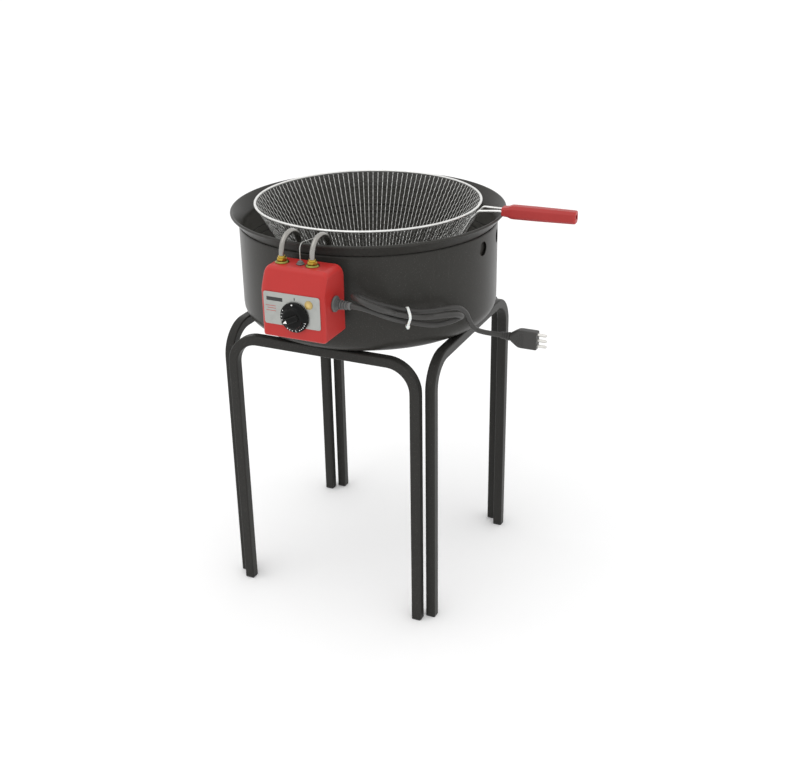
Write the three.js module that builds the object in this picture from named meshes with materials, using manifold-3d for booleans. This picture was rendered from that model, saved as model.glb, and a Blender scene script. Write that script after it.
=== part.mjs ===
// Round electric deep fryer on a tubular stand.
// Millimetres, +Z up. The control box faces -Y and the basket handle points along +X.
import * as THREE from 'three';
import { mergeVertices } from 'three/addons/utils/BufferGeometryUtils.js';
import Module from 'manifold-3d';

const wasm = await Module();
wasm.setup();

// ---- driving dimensions -------------------------------------------------
const CLEARANCE = 0.3;             // gap between pieces that touch
const ROUND_SEGMENTS = 64;         // facets round the kettle
const BEARING_GAP = 0.4;           // radial gap round a turning shaft

const LIP_RADIUS = 220;            // outside of the rolled lip of the oil pan
const LIP_HEIGHT = 636;            // top of the rolled lip above the floor
const LIP_BEAD = 2.2;              // radius of the rolled bead
const FLARE_RISE = 20;             // height of the flared band under the lip
const CASING_RADIUS = 207;
const CASING_WALL = 1.5;
const CASING_CORNER = 28;          // round between the casing's wall and its base
const PAN_WALL = 1.2;
const PAN_GAP = 3;                 // air gap between the casing and the oil pan
const PAN_FLOOR_GAP = 5;
const KETTLE_BASE = 460;           // underside of the casing above the floor
const VENT_RADIUS = 11;
const VENT_DROP = 22;              // vent centre below the casing's top edge
const VENT_ANGLES = [-6.5, 13.5, 173.5, 193.5];

const LEG_SIDE = 16;               // square tube of the stand
const LEG_WALL = 1.5;
const FRAME_OFFSET = 176.5;        // from the kettle's axis to the plane of each frame
const FRAME_GAP = 2;               // between the two legs that share a corner
const FRAME_BEND = 46;             // centre-line radius of the bends
const FOOT_THICKNESS = 3;
const FOOT_INSERT = 16;
const RIVET_RADIUS = 2.4;
const RIVET_HEAD = 5;
const RIVET_HEAD_HEIGHT = 2;
const RIVET_INSET = 4;             // rivet axis inside the frame plane

const BOX_WIDTH = 102;
const BOX_DEPTH = 63.5;
const BOX_HEIGHT = 103;
const BOX_BASE = 512;
const BOX_OFFSET = 15.5;           // box centre to the right of the kettle's axis
const BOX_LIP_GAP = 1.5;           // between the back of the box and the lip's widest line
const BOX_WALL = 2.5;
const BOX_EDGE = 6;                // round on the two side edges
const BOX_ROUND = 9;               // round on the top edges
const BOX_SLOPE_DROP = 32;         // the front face leans back above this depth from the top
const BOX_SLOPE_SET = 15;
const BACK_PLATE = 1.5;

const LABEL_WIDTH = 91;
const LABEL_HEIGHT = 49;
const LABEL_THICKNESS = 0.8;
const LABEL_RISE = 21;             // label's lower edge above the box's base
const KNOB_RADIUS = 22.5;
const KNOB_SKIRT = 4;
const KNOB_LENGTH = 16;
const KNOB_SHIFT = 5;              // knob axis to the right of the box centre
const KNOB_RISE = 36.5;
const POINTER_ANGLE = 205;         // direction of the knob's pointer when off
const SHAFT_RADIUS = 3;
const LAMP_RADIUS = 6.5;
const LAMP_ACROSS = 0.5;           // lamp axis from the corner of the square round the knob
const LAMP_UP = -1.5;
const THERMOSTAT_RADIUS = 17;
const THERMOSTAT_LENGTH = 20;

const HEATER_RADIUS = 4;
const HEATER_SPACING = 49.5;       // between the two risers
const HEATER_SHIFT = -7.75;        // middle of the risers from the box centre
const HEATER_BEND = 25;
const HEATER_PEAK = 16.5;          // centre line above the lip
const HEATER_REACH = 14;           // drop line inside the pan wall
const HEATER_HALF_LOOP = 77;
const HEATER_FLOOR_GAP = 21;       // loop's centre line above the pan's floor
const SLEEVE_RADIUS = 6.2;
const SLEEVE_LENGTH = 44;
const NUT_RADIUS = 8;
const NUT_HEIGHT = 7;
const WASHER_RADIUS = 10.5;
const WASHER_HEIGHT = 2.4;
const CAPILLARY_RADIUS = 1;
const BULB_RADIUS = 4;
const BULB_LENGTH = 90;

const RING_RADIUS = 180;           // centre line of the basket's top ring
const RING_WIRE = 2.6;
const RING_LIFT = 9.5;             // ring above the lip
const BASKET_FOOT_RADIUS = 93;     // wall's outer radius at the flat base
const BASKET_WALL = 1.4;
const BASKET_TURN = 3.5;           // the basket sits turned by this many degrees
const HANDLE_WIRE = 2;
const HANDLE_SPREAD = 26;          // between the two handle wires at the ring
const HANDLE_PITCH = 15;           // between them at the grip
const GRIP_GAP = 3;                // between the pan's lip and the start of the grip
const GRIP_START = LIP_RADIUS + GRIP_GAP;
const GRIP_LENGTH = 115;
const GRIP_SIZE = 20;

const CORD_RADIUS = 4;
const CORD_STEPS = 66;
const RELIEF_LENGTH = 25;
const RELIEF_FLANGE = 10.5;
const PLUG_NECK = 18;
const PLUG_LENGTH = 42;
const PLUG_HEIGHT = 29;
const PLUG_THICKNESS = 16;
const PIN_RADIUS = 2.4;
const PIN_LENGTH = 15;
const PIN_PITCH = 9;

// ---- derived dimensions -------------------------------------------------
const CASING_TOP = LIP_HEIGHT - FLARE_RISE;
const PAN_RADIUS = CASING_RADIUS - CASING_WALL - PAN_GAP;
const PAN_INSIDE = PAN_RADIUS - PAN_WALL;
const PAN_BASE = KETTLE_BASE + CASING_WALL + PAN_FLOOR_GAP;
const PAN_CORNER = CASING_CORNER - CASING_WALL - PAN_GAP;
const PAN_FLOOR = PAN_BASE + PAN_WALL;
const LEG_OFFSET = FRAME_OFFSET - LEG_SIDE - FRAME_GAP;
const STAND_TOP = KETTLE_BASE - CLEARANCE;
const BOX_BACK = -(LIP_RADIUS + BOX_LIP_GAP);
const BOX_FRONT = BOX_BACK - BOX_DEPTH;
const BOX_TOP = BOX_BASE + BOX_HEIGHT;
const KNOB_X = BOX_OFFSET + KNOB_SHIFT;
const KNOB_Z = BOX_BASE + KNOB_RISE;
const LAMP_X = KNOB_X + KNOB_RADIUS + LAMP_ACROSS;
const LAMP_Z = KNOB_Z + KNOB_RADIUS + LAMP_UP;
const LABEL_FRONT = BOX_FRONT - CLEARANCE - LABEL_THICKNESS;
const LABEL_MIDDLE = BOX_BASE + LABEL_RISE + LABEL_HEIGHT / 2;
const RISER_Y = BOX_BACK - 28.5;
const LEFT_RISER = BOX_OFFSET + HEATER_SHIFT - HEATER_SPACING / 2;
const RIGHT_RISER = LEFT_RISER + HEATER_SPACING;
const HEATER_LOOP = PAN_FLOOR + HEATER_FLOOR_GAP;
const HEATER_DROP = -(PAN_INSIDE - HEATER_REACH);
const HEATER_TOP = LIP_HEIGHT + HEATER_PEAK;
const CAPILLARY_X = BOX_OFFSET - 2.5;
const RING_HEIGHT = LIP_HEIGHT + RING_LIFT;
const BASKET_BASE = HEATER_LOOP + HEATER_RADIUS + CLEARANCE;
const BASKET_TAPER = (RING_RADIUS - BASKET_FOOT_RADIUS) / (RING_HEIGHT - BASKET_BASE);
const BASKET_TOP = RING_HEIGHT - RING_WIRE - CLEARANCE;
const RELIEF_Y = BOX_BACK - 30.5;
const RELIEF_Z = BOX_BASE + 51.5;
const RELIEF_X = BOX_OFFSET + BOX_WIDTH / 2 + CLEARANCE;

// The cord's route, from the strain relief, folded twice and held by a tie, to the plug.
const CORD_ROUTE = [
  [92.8, -252, 563.5], [111, -250.5, 562], [124.5, -242.5, 555.5], [130.5, -228.5, 546.5],
  [131.5, -207, 535.5], [137.5, -188.5, 526], [150, -171, 518.5], [167, -153.5, 511],
  [179, -139, 507.5], [193.5, -131, 511], [208, -132.5, 519], [218, -142.5, 528], [218, -158, 535.5],
  [209.5, -172, 539], [194.5, -180, 537.5], [175.5, -179, 533], [157.5, -180.5, 531.5],
  [143.5, -189.5, 535], [137, -204, 542], [138.5, -223.5, 551.5], [136, -239.5, 559],
  [124.5, -249.5, 566.5], [108.5, -251, 572.5], [94, -243, 574], [86, -228.5, 570.5],
  [88, -213.5, 563.5], [99, -203.5, 555], [118.5, -194, 547.5], [139, -181, 540], [157.5, -166, 534.5],
  [175.5, -148.5, 532.5], [191, -130, 532], [201, -112.5, 528], [206.5, -99, 517], [210, -86.5, 497],
  [215, -74, 481.5], [224, -62.5, 474], [233, -57.5, 471.5], [240, -56.5, 471], [248, -56.5, 471],
];
const TIE_MIDDLE = [148, -178, 530];
const TIE_ALONG = [0.73, 0.61, 0];
const TIE_SLACK = 0.9;             // the strands cross the tie a little aslant
const TIE_WIDTH = 4.5;
const TIE_THICKNESS = 1;

// ---- finishes -----------------------------------------------------------
const finish = (color, roughness, metalness) => () =>
  new THREE.MeshStandardMaterial({ color, roughness, metalness });
const charcoal = finish(0x403f3c, 0.42, 0.3);
const plastic = finish(0x2c2b2a, 0.7, 0);
const steel = finish(0xb9b8b4, 0.3, 1);
const satinSteel = finish(0xa5a29e, 0.4, 1);
const brass = finish(0xb88a3a, 0.35, 1);
const redPlastic = finish(0xb93c3a, 0.4, 0);
const gripPlastic = finish(0xb23f3f, 0.45, 0);
const labelMetal = finish(0xa8aaa6, 0.45, 0.6);
const blackGloss = finish(0x111111, 0.15, 0);
const white = finish(0xf0efec, 0.6, 0);
const amber = finish(0xc8a040, 0.2, 0);
const greyPlastic = finish(0x8b8d8a, 0.6, 0);
const blackSleeve = finish(0x1a1a19, 0.8, 0);
const cordRubber = finish(0x4a4845, 0.65, 0);

// ---- making and joining solids ------------------------------------------
const object = new THREE.Group();
const cordNodes = ['cord', 'cord_tie', 'plug', 'plug_pin_live', 'plug_pin_earth', 'plug_pin_neutral'];

function addNode(name, geometry, material) {
  const mesh = new THREE.Mesh(geometry, material());
  mesh.name = name;
  object.add(mesh);
  return mesh;
}

function toSolid(geometry) {
  let plain = geometry.clone();
  plain.deleteAttribute('normal');
  plain.deleteAttribute('uv');
  plain = mergeVertices(plain, 1e-4);
  const mesh = new wasm.Mesh({
    numProp: 3,
    vertProperties: new Float32Array(plain.attributes.position.array),
    triVerts: new Uint32Array(plain.index.array),
  });
  mesh.merge();
  return new wasm.Manifold(mesh);
}

function toGeometry(solid) {
  const mesh = solid.getMesh();
  const geometry = new THREE.BufferGeometry();
  geometry.setAttribute('position', new THREE.BufferAttribute(mesh.vertProperties, 3));
  geometry.setIndex(new THREE.BufferAttribute(mesh.triVerts, 1));
  return geometry;
}

function cut(geometry, ...tools) {
  let solid = toSolid(geometry);
  for (const tool of tools) {
    solid = solid.subtract(toSolid(tool));
  }
  return toGeometry(solid);
}

function join(first, ...others) {
  let solid = toSolid(first);
  for (const other of others) {
    solid = solid.add(toSolid(other));
  }
  return toGeometry(solid);
}

// A cylinder or cone from one centre along an axis letter, with the end radii.
function rod(axis, from, length, startRadius, endRadius = startRadius, sides = 24) {
  const geometry = new THREE.CylinderGeometry(endRadius, startRadius, length, sides);
  geometry.translate(0, length / 2, 0);
  if (axis === 'x') {
    geometry.rotateZ(-Math.PI / 2);
  }
  if (axis === '-y') {
    geometry.rotateX(Math.PI);
  }
  if (axis === 'z') {
    geometry.rotateX(Math.PI / 2);
  }
  return geometry.translate(...from);
}

function block(low, high) {
  const size = high.map((value, i) => value - low[i]);
  const geometry = new THREE.BoxGeometry(...size);
  return geometry.translate(...low.map((value, i) => value + size[i] / 2));
}

// A closed profile of [radius, height] pairs turned about the Z axis.
function turned(profile, segments) {
  const points = profile.map(([radius, height]) => new THREE.Vector2(radius, height));
  return new THREE.LatheGeometry(points, segments).rotateX(Math.PI / 2);
}

function arcPoints(centre, radius, fromDegrees, toDegrees, steps) {
  const points = [];
  for (let i = 0; i <= steps; i += 1) {
    const angle = THREE.MathUtils.degToRad(fromDegrees + ((toDegrees - fromDegrees) * i) / steps);
    points.push([centre[0] + radius * Math.cos(angle), centre[1] + radius * Math.sin(angle)]);
  }
  return points;
}

// A curve that runs straight through its stations, so that a sweep places a section on each one.
class Route extends THREE.Curve {
  constructor(stations) {
    super();
    this.stations = stations;
  }

  getPointAt(u, target = new THREE.Vector3()) {
    const place = u * (this.stations.length - 1);
    const index = Math.min(Math.floor(place), this.stations.length - 2);
    return target.lerpVectors(this.stations[index], this.stations[index + 1], place - index);
  }

  getTangentAt(u, target = new THREE.Vector3()) {
    const last = this.stations.length - 1;
    const index = Math.round(u * last);
    const before = this.stations[Math.max(index - 1, 0)];
    const here = this.stations[index];
    const after = this.stations[Math.min(index + 1, last)];
    const into = here.clone().sub(before).normalize();
    const out = after.clone().sub(here).normalize();
    return target.addVectors(into, out).normalize();
  }
}

// Stations along straight runs between corners, with an arc of one radius at each corner.
function filleted(corners, radius, arcSteps) {
  const points = corners.map((corner) => new THREE.Vector3(...corner));
  const stations = [points[0]];
  for (let i = 1; i < points.length - 1; i += 1) {
    const into = points[i].clone().sub(points[i - 1]).normalize();
    const out = points[i + 1].clone().sub(points[i]).normalize();
    const turn = into.angleTo(out);
    const back = radius * Math.tan(turn / 2);
    const inward = out.clone().sub(into).normalize();
    const centre = points[i].clone().addScaledVector(inward, radius / Math.cos(turn / 2));
    const arm = points[i].clone().addScaledVector(into, -back).sub(centre);
    const hinge = into.clone().cross(out).normalize();
    const steps = Math.max(2, Math.round((arcSteps * turn) / (Math.PI / 2)));
    for (let k = 0; k <= steps; k += 1) {
      stations.push(arm.clone().applyAxisAngle(hinge, (turn * k) / steps).add(centre));
    }
  }
  stations.push(points[points.length - 1]);
  return stations;
}

function circle(radius, sides) {
  const corners = [];
  for (let i = 0; i < sides; i += 1) {
    const angle = (2 * Math.PI * i) / sides;
    corners.push(new THREE.Vector2(radius * Math.cos(angle), radius * Math.sin(angle)));
  }
  return new THREE.Shape(corners);
}

function tube(stations, radius, sides) {
  const settings = { steps: stations.length - 1, extrudePath: new Route(stations) };
  return new THREE.ExtrudeGeometry(circle(radius, sides), settings);
}

// ---- kettle -------------------------------------------------------------
function rivetPlaces() {
  const reach = FRAME_OFFSET - RIVET_INSET;
  return [['front', 0, -reach], ['right', reach, 0], ['back', 0, reach], ['left', -reach, 0]];
}

function addCasing() {
  const inner = CASING_RADIUS - CASING_WALL;
  const corner = [CASING_RADIUS - CASING_CORNER, KETTLE_BASE + CASING_CORNER];
  const profile = [
    [0, KETTLE_BASE],
    ...arcPoints(corner, CASING_CORNER, -90, 0, 5),
    [CASING_RADIUS, CASING_TOP],
    [inner, CASING_TOP],
    ...arcPoints(corner, CASING_CORNER - CASING_WALL, 0, -90, 4),
    [0, KETTLE_BASE + CASING_WALL],
  ];
  const vents = VENT_ANGLES.map((angle) => {
    const vent = rod('x', [inner - 10, 0, CASING_TOP - VENT_DROP], 30, VENT_RADIUS, VENT_RADIUS, 20);
    return vent.rotateZ(THREE.MathUtils.degToRad(angle));
  });
  const rivetHoles = rivetPlaces().map(([, x, y]) =>
    rod('z', [x, y, KETTLE_BASE - 1], 4, RIVET_RADIUS + CLEARANCE, RIVET_RADIUS + CLEARANCE, 12));
  addNode('casing', cut(turned(profile, ROUND_SEGMENTS), ...vents, ...rivetHoles), charcoal);
}

function addOilPan() {
  const corner = [PAN_RADIUS - PAN_CORNER, PAN_BASE + PAN_CORNER];
  const bead = [LIP_RADIUS - LIP_BEAD, LIP_HEIGHT - LIP_BEAD];
  // The flare's straight underside just clears the casing's inner top edge.
  const [flareRadius, flareHeight] = arcPoints(bead, LIP_BEAD, -60, -60, 1)[0];
  const share = PAN_GAP / (flareRadius - PAN_RADIUS);
  const bendHeight = (CASING_TOP + CLEARANCE - flareHeight * share) / (1 - share);
  const profile = [
    [0, PAN_BASE],
    ...arcPoints(corner, PAN_CORNER, -90, 0, 4),
    [PAN_RADIUS, bendHeight],
    ...arcPoints(bead, LIP_BEAD, -60, 120, 5),
    [PAN_INSIDE, bendHeight + PAN_WALL],
    ...arcPoints(corner, PAN_CORNER - PAN_WALL, 0, -90, 3),
    [0, PAN_FLOOR],
  ];
  addNode('oil_pan', turned(profile, ROUND_SEGMENTS), charcoal);
}

// ---- stand --------------------------------------------------------------
function archShape(halfWidth, top, radius) {
  const shape = new THREE.Shape();
  shape.moveTo(-halfWidth, 0);
  shape.lineTo(halfWidth, 0);
  shape.lineTo(halfWidth, top - radius);
  shape.absarc(halfWidth - radius, top - radius, radius, 0, Math.PI / 2, false);
  shape.lineTo(-halfWidth + radius, top);
  shape.absarc(-halfWidth + radius, top - radius, radius, Math.PI / 2, Math.PI, false);
  shape.closePath();
  return shape;
}

// A solid arch band between two offsets of the frame's centre line, as deep as given.
function archBand(side, below) {
  const half = side / 2;
  const centreTop = STAND_TOP - LEG_SIDE / 2;
  const settings = { depth: side, bevelEnabled: false, curveSegments: 7 };
  const outer = archShape(LEG_OFFSET + half, centreTop + half - below, FRAME_BEND + half);
  const hollow = archShape(LEG_OFFSET - half, centreTop - half - below, FRAME_BEND - half);
  const outerSolid = new THREE.ExtrudeGeometry(outer, settings).translate(0, below, -half);
  const deep = { ...settings, depth: side + 2 };
  const hollowSolid = new THREE.ExtrudeGeometry(hollow, deep).translate(0, below, -half - 1);
  const mouth = block([-LEG_OFFSET + half, below - 5, -half - 1], [LEG_OFFSET - half, below + 5, half + 1]);
  return cut(outerSolid, hollowSolid, mouth);
}

function addStand() {
  const turns = { front: 0, right: 90, back: 180, left: 270 };
  for (const [side, degrees] of Object.entries(turns)) {
    const angle = THREE.MathUtils.degToRad(degrees);
    const solid = archBand(LEG_SIDE, FOOT_THICKNESS);
    const bore = archBand(LEG_SIDE - 2 * LEG_WALL, FOOT_THICKNESS - 1);
    const hole = rod('z', [0, 0, 0], 3 * LEG_SIDE, RIVET_RADIUS + CLEARANCE, RIVET_RADIUS + CLEARANCE, 12)
      .rotateX(-Math.PI / 2)
      .translate(0, STAND_TOP - 2 * LEG_SIDE, RIVET_INSET * -1);
    const frame = cut(solid, bore, hole);
    frame.rotateX(Math.PI / 2).translate(0, -FRAME_OFFSET, 0).rotateZ(angle);
    addNode(`stand_frame_${side}`, frame, charcoal);
    for (const [end, x] of [['a', -LEG_OFFSET], ['b', LEG_OFFSET]]) {
      addNode(`foot_${side}_${end}`, footPlug(x).rotateZ(angle), plastic);
    }
  }
  for (const [side, x, y] of rivetPlaces()) {
    addNode(`stand_rivet_${side}`, rivet(x, y), satinSteel);
  }
}

function footPlug(x) {
  const half = LEG_SIDE / 2;
  const tight = half - LEG_WALL - CLEARANCE;
  const y = -FRAME_OFFSET;
  const pad = block([x - half, y - half, 0], [x + half, y + half, FOOT_THICKNESS - CLEARANCE]);
  const insert = block([x - tight, y - tight, 1], [x + tight, y + tight, FOOT_THICKNESS + FOOT_INSERT]);
  return join(pad, insert);
}

function rivet(x, y) {
  const under = STAND_TOP - LEG_SIDE - CLEARANCE;
  const over = KETTLE_BASE + CASING_WALL + CLEARANCE;
  const shank = rod('z', [x, y, under - 1], over - under + 2, RIVET_RADIUS, RIVET_RADIUS, 12);
  const lower = rod('z', [x, y, under - RIVET_HEAD_HEIGHT], RIVET_HEAD_HEIGHT, RIVET_HEAD * 0.7, RIVET_HEAD, 16);
  const upper = rod('z', [x, y, over], RIVET_HEAD_HEIGHT, RIVET_HEAD, RIVET_HEAD * 0.7, 16);
  return join(shank, lower, upper);
}

// ---- control box --------------------------------------------------------
// The side outline of the box in (Y, Z), drawn in from the outer faces by an inset.
function boxOutline(inset, backInset) {
  const front = BOX_FRONT + inset;
  const back = BOX_BACK - backInset;
  const base = BOX_BASE + inset;
  const top = BOX_TOP - inset;
  const round = Math.max(BOX_ROUND - inset, 1);
  const slopeStart = BOX_TOP - BOX_SLOPE_DROP;
  const lean = front + BOX_SLOPE_SET;
  const shape = new THREE.Shape();
  shape.moveTo(back, base);
  shape.lineTo(back, top - round);
  shape.absarc(back - round, top - round, round, 0, Math.PI / 2, false);
  shape.lineTo(lean + round, top);
  shape.absarc(lean + round, top - round, round, Math.PI / 2, Math.PI * 0.86, false);
  shape.lineTo(front, slopeStart);
  shape.lineTo(front, base + 3);
  shape.lineTo(front + 3, base);
  shape.closePath();
  return shape;
}

// A rounded rectangle round a middle point, with one radius for its upper corners and one below.
function roundedPanel(middle, width, low, high, upper, lower) {
  const left = middle - width / 2;
  const right = middle + width / 2;
  const shape = new THREE.Shape();
  shape.absarc(left + lower, low + lower, lower, Math.PI, Math.PI * 1.5, false);
  shape.absarc(right - lower, low + lower, lower, Math.PI * 1.5, Math.PI * 2, false);
  shape.absarc(right - upper, high - upper, upper, 0, Math.PI / 2, false);
  shape.absarc(left + upper, high - upper, upper, Math.PI / 2, Math.PI, false);
  shape.closePath();
  return shape;
}

// The box is what its side outline, its front outline and its plan have in common.
function boxSolid(width, edge, inset, backInset) {
  const settings = { depth: BOX_HEIGHT * 2, bevelEnabled: false, curveSegments: 5 };
  // The side outline's X becomes Y, its Y becomes Z and the depth runs along X.
  const side = new THREE.ExtrudeGeometry(boxOutline(inset, backInset), settings);
  side.applyMatrix4(new THREE.Matrix4().makeBasis(
    new THREE.Vector3(0, 1, 0),
    new THREE.Vector3(0, 0, 1),
    new THREE.Vector3(1, 0, 0),
  )).translate(BOX_OFFSET - BOX_HEIGHT, 0, 0);
  const face = roundedPanel(BOX_OFFSET, width, BOX_BASE + inset, BOX_TOP - inset, edge + 3, edge / 2);
  const front = new THREE.ExtrudeGeometry(face, settings).rotateX(Math.PI / 2);
  front.translate(0, BOX_BACK + 30, 0);
  const plan = roundedPanel(BOX_OFFSET, width, BOX_FRONT + inset, BOX_BACK - backInset, 1, edge);
  const upright = new THREE.ExtrudeGeometry(plan, settings).translate(0, 0, BOX_BASE - 20);
  return toGeometry(toSolid(side).intersect(toSolid(front)).intersect(toSolid(upright)));
}

function addControlBox() {
  const shell = boxSolid(BOX_WIDTH, BOX_EDGE, 0, 0);
  const cavity = boxSolid(BOX_WIDTH - 2 * BOX_WALL, BOX_EDGE - BOX_WALL, BOX_WALL, -5);
  const throughTop = (x, y, radius) => rod('z', [x, y, BOX_TOP - 10], 20, radius, radius, 20);
  const throughFront = (x, z, radius) => rod('-y', [x, BOX_FRONT + 6, z], 12, radius, radius, 24);
  const cover = cut(
    shell,
    cavity,
    throughTop(LEFT_RISER, RISER_Y, HEATER_RADIUS + CLEARANCE),
    throughTop(RIGHT_RISER, RISER_Y, HEATER_RADIUS + CLEARANCE),
    throughTop(CAPILLARY_X, RISER_Y, CAPILLARY_RADIUS + CLEARANCE),
    throughFront(KNOB_X, KNOB_Z, SHAFT_RADIUS + BEARING_GAP),
    throughFront(LAMP_X, LAMP_Z, LAMP_RADIUS - 1 + CLEARANCE),
    rod('x', [RELIEF_X - 6, RELIEF_Y, RELIEF_Z], 10, 5 + CLEARANCE),
  );
  addNode('box_cover', cover, redPlastic);

  const tight = BOX_WALL + CLEARANCE;
  const filling = boxSolid(BOX_WIDTH - 2 * tight, BOX_EDGE - BOX_WALL, tight, 1);
  const slab = block(
    [BOX_OFFSET - BOX_WIDTH, BOX_BACK - 1 - BACK_PLATE, BOX_BASE - 1],
    [BOX_OFFSET + BOX_WIDTH, BOX_BACK, BOX_TOP + 1],
  );
  const plate = toGeometry(toSolid(filling).intersect(toSolid(slab)));
  addNode('box_back_plate', plate, satinSteel);
}

function addLabelAndLamp() {
  const plate = block(
    [BOX_OFFSET - LABEL_WIDTH / 2, LABEL_FRONT, LABEL_MIDDLE - LABEL_HEIGHT / 2],
    [BOX_OFFSET + LABEL_WIDTH / 2, LABEL_FRONT + LABEL_THICKNESS, LABEL_MIDDLE + LABEL_HEIGHT / 2],
  );
  const label = cut(
    plate,
    rod('-y', [KNOB_X, BOX_FRONT + 5, KNOB_Z], 12, SHAFT_RADIUS + 3),
    rod('-y', [LAMP_X, BOX_FRONT + 5, LAMP_Z], 12, LAMP_RADIUS - 1 + CLEARANCE),
  );
  addNode('label_plate', label, labelMetal);

  const stem = rod('-y', [LAMP_X, BOX_FRONT + BOX_WALL + 8, LAMP_Z], BOX_WALL + 10, LAMP_RADIUS - 1);
  const lens = rod('-y', [LAMP_X, LABEL_FRONT - CLEARANCE, LAMP_Z], 2, LAMP_RADIUS, LAMP_RADIUS * 0.75);
  addNode('pilot_lamp', join(stem, lens), amber);
}

function addThermostat() {
  const back = BOX_FRONT + BOX_WALL + CLEARANCE;
  const shaftHole = SHAFT_RADIUS + BEARING_GAP;
  const body = rod('-y', [KNOB_X, back + THERMOSTAT_LENGTH, KNOB_Z], THERMOSTAT_LENGTH, THERMOSTAT_RADIUS);
  const bore = rod('-y', [KNOB_X, back + 12, KNOB_Z], 20, shaftHole);
  addNode('thermostat_body', cut(body, bore), greyPlastic);

  const terminal = block(
    [BOX_OFFSET - 42, BOX_BACK - 20, BOX_BASE + 12],
    [BOX_OFFSET - 22, BOX_BACK - 8, BOX_BASE + 42],
  );
  addNode('terminal_block', terminal, white);

  const front = LABEL_FRONT - CLEARANCE - 1;
  const shaft = rod('-y', [KNOB_X, back + 11, KNOB_Z], back + 11 - front + 9, SHAFT_RADIUS);
  addNode('thermostat_shaft', shaft, steel);

  const skirt = [
    [0, 0],
    [KNOB_RADIUS - 0.8, 0],
    [KNOB_RADIUS, 1],
    [KNOB_RADIUS - 1.2, KNOB_SKIRT],
    [KNOB_RADIUS * 0.72, KNOB_SKIRT + 1.5],
    [KNOB_RADIUS * 0.66, KNOB_SKIRT + 5],
    [KNOB_RADIUS * 0.6, KNOB_SKIRT + 6],
    [0, KNOB_SKIRT + 6.5],
  ];
  const barLength = KNOB_RADIUS * 0.7;
  const bar = new THREE.ExtrudeGeometry(
    new THREE.Shape([
      new THREE.Vector2(-barLength * 0.8, -3.6),
      new THREE.Vector2(barLength * 0.82, -4.6),
      new THREE.Vector2(barLength, 0),
      new THREE.Vector2(barLength * 0.82, 4.6),
      new THREE.Vector2(-barLength * 0.8, 3.6),
    ]),
    { depth: KNOB_LENGTH - 3, bevelThickness: 1.2, bevelSize: 1.2, bevelOffset: -1.2, bevelSegments: 2 },
  ).translate(0, 0, 1.6);
  const socket = rod('z', [0, 0, -1], 10.5, SHAFT_RADIUS + CLEARANCE / 2);
  const pointerPocket = pointer(KNOB_LENGTH - 1, 0);
  const turn = THREE.MathUtils.degToRad(POINTER_ANGLE);
  const place = (geometry) => geometry.rotateZ(turn).rotateX(Math.PI / 2).translate(KNOB_X, front, KNOB_Z);
  const knob = cut(join(turned(skirt, 40), bar), socket, pointerPocket);
  addNode('knob', place(knob), blackGloss);
  addNode('knob_pointer', place(pointer(KNOB_LENGTH - 0.6, CLEARANCE)), white);
}

// The triangular mark let into the end of the knob's bar.
function pointer(base, inset) {
  const tip = KNOB_RADIUS * 0.54 - inset;
  const tail = KNOB_RADIUS * 0.24 + inset;
  const half = 2.6 - inset;
  const shape = new THREE.Shape([
    new THREE.Vector2(tail, -half),
    new THREE.Vector2(tip, 0),
    new THREE.Vector2(tail, half),
  ]);
  return new THREE.ExtrudeGeometry(shape, { depth: 1.2, bevelEnabled: false }).translate(0, 0, base - 0.2);
}

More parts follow.
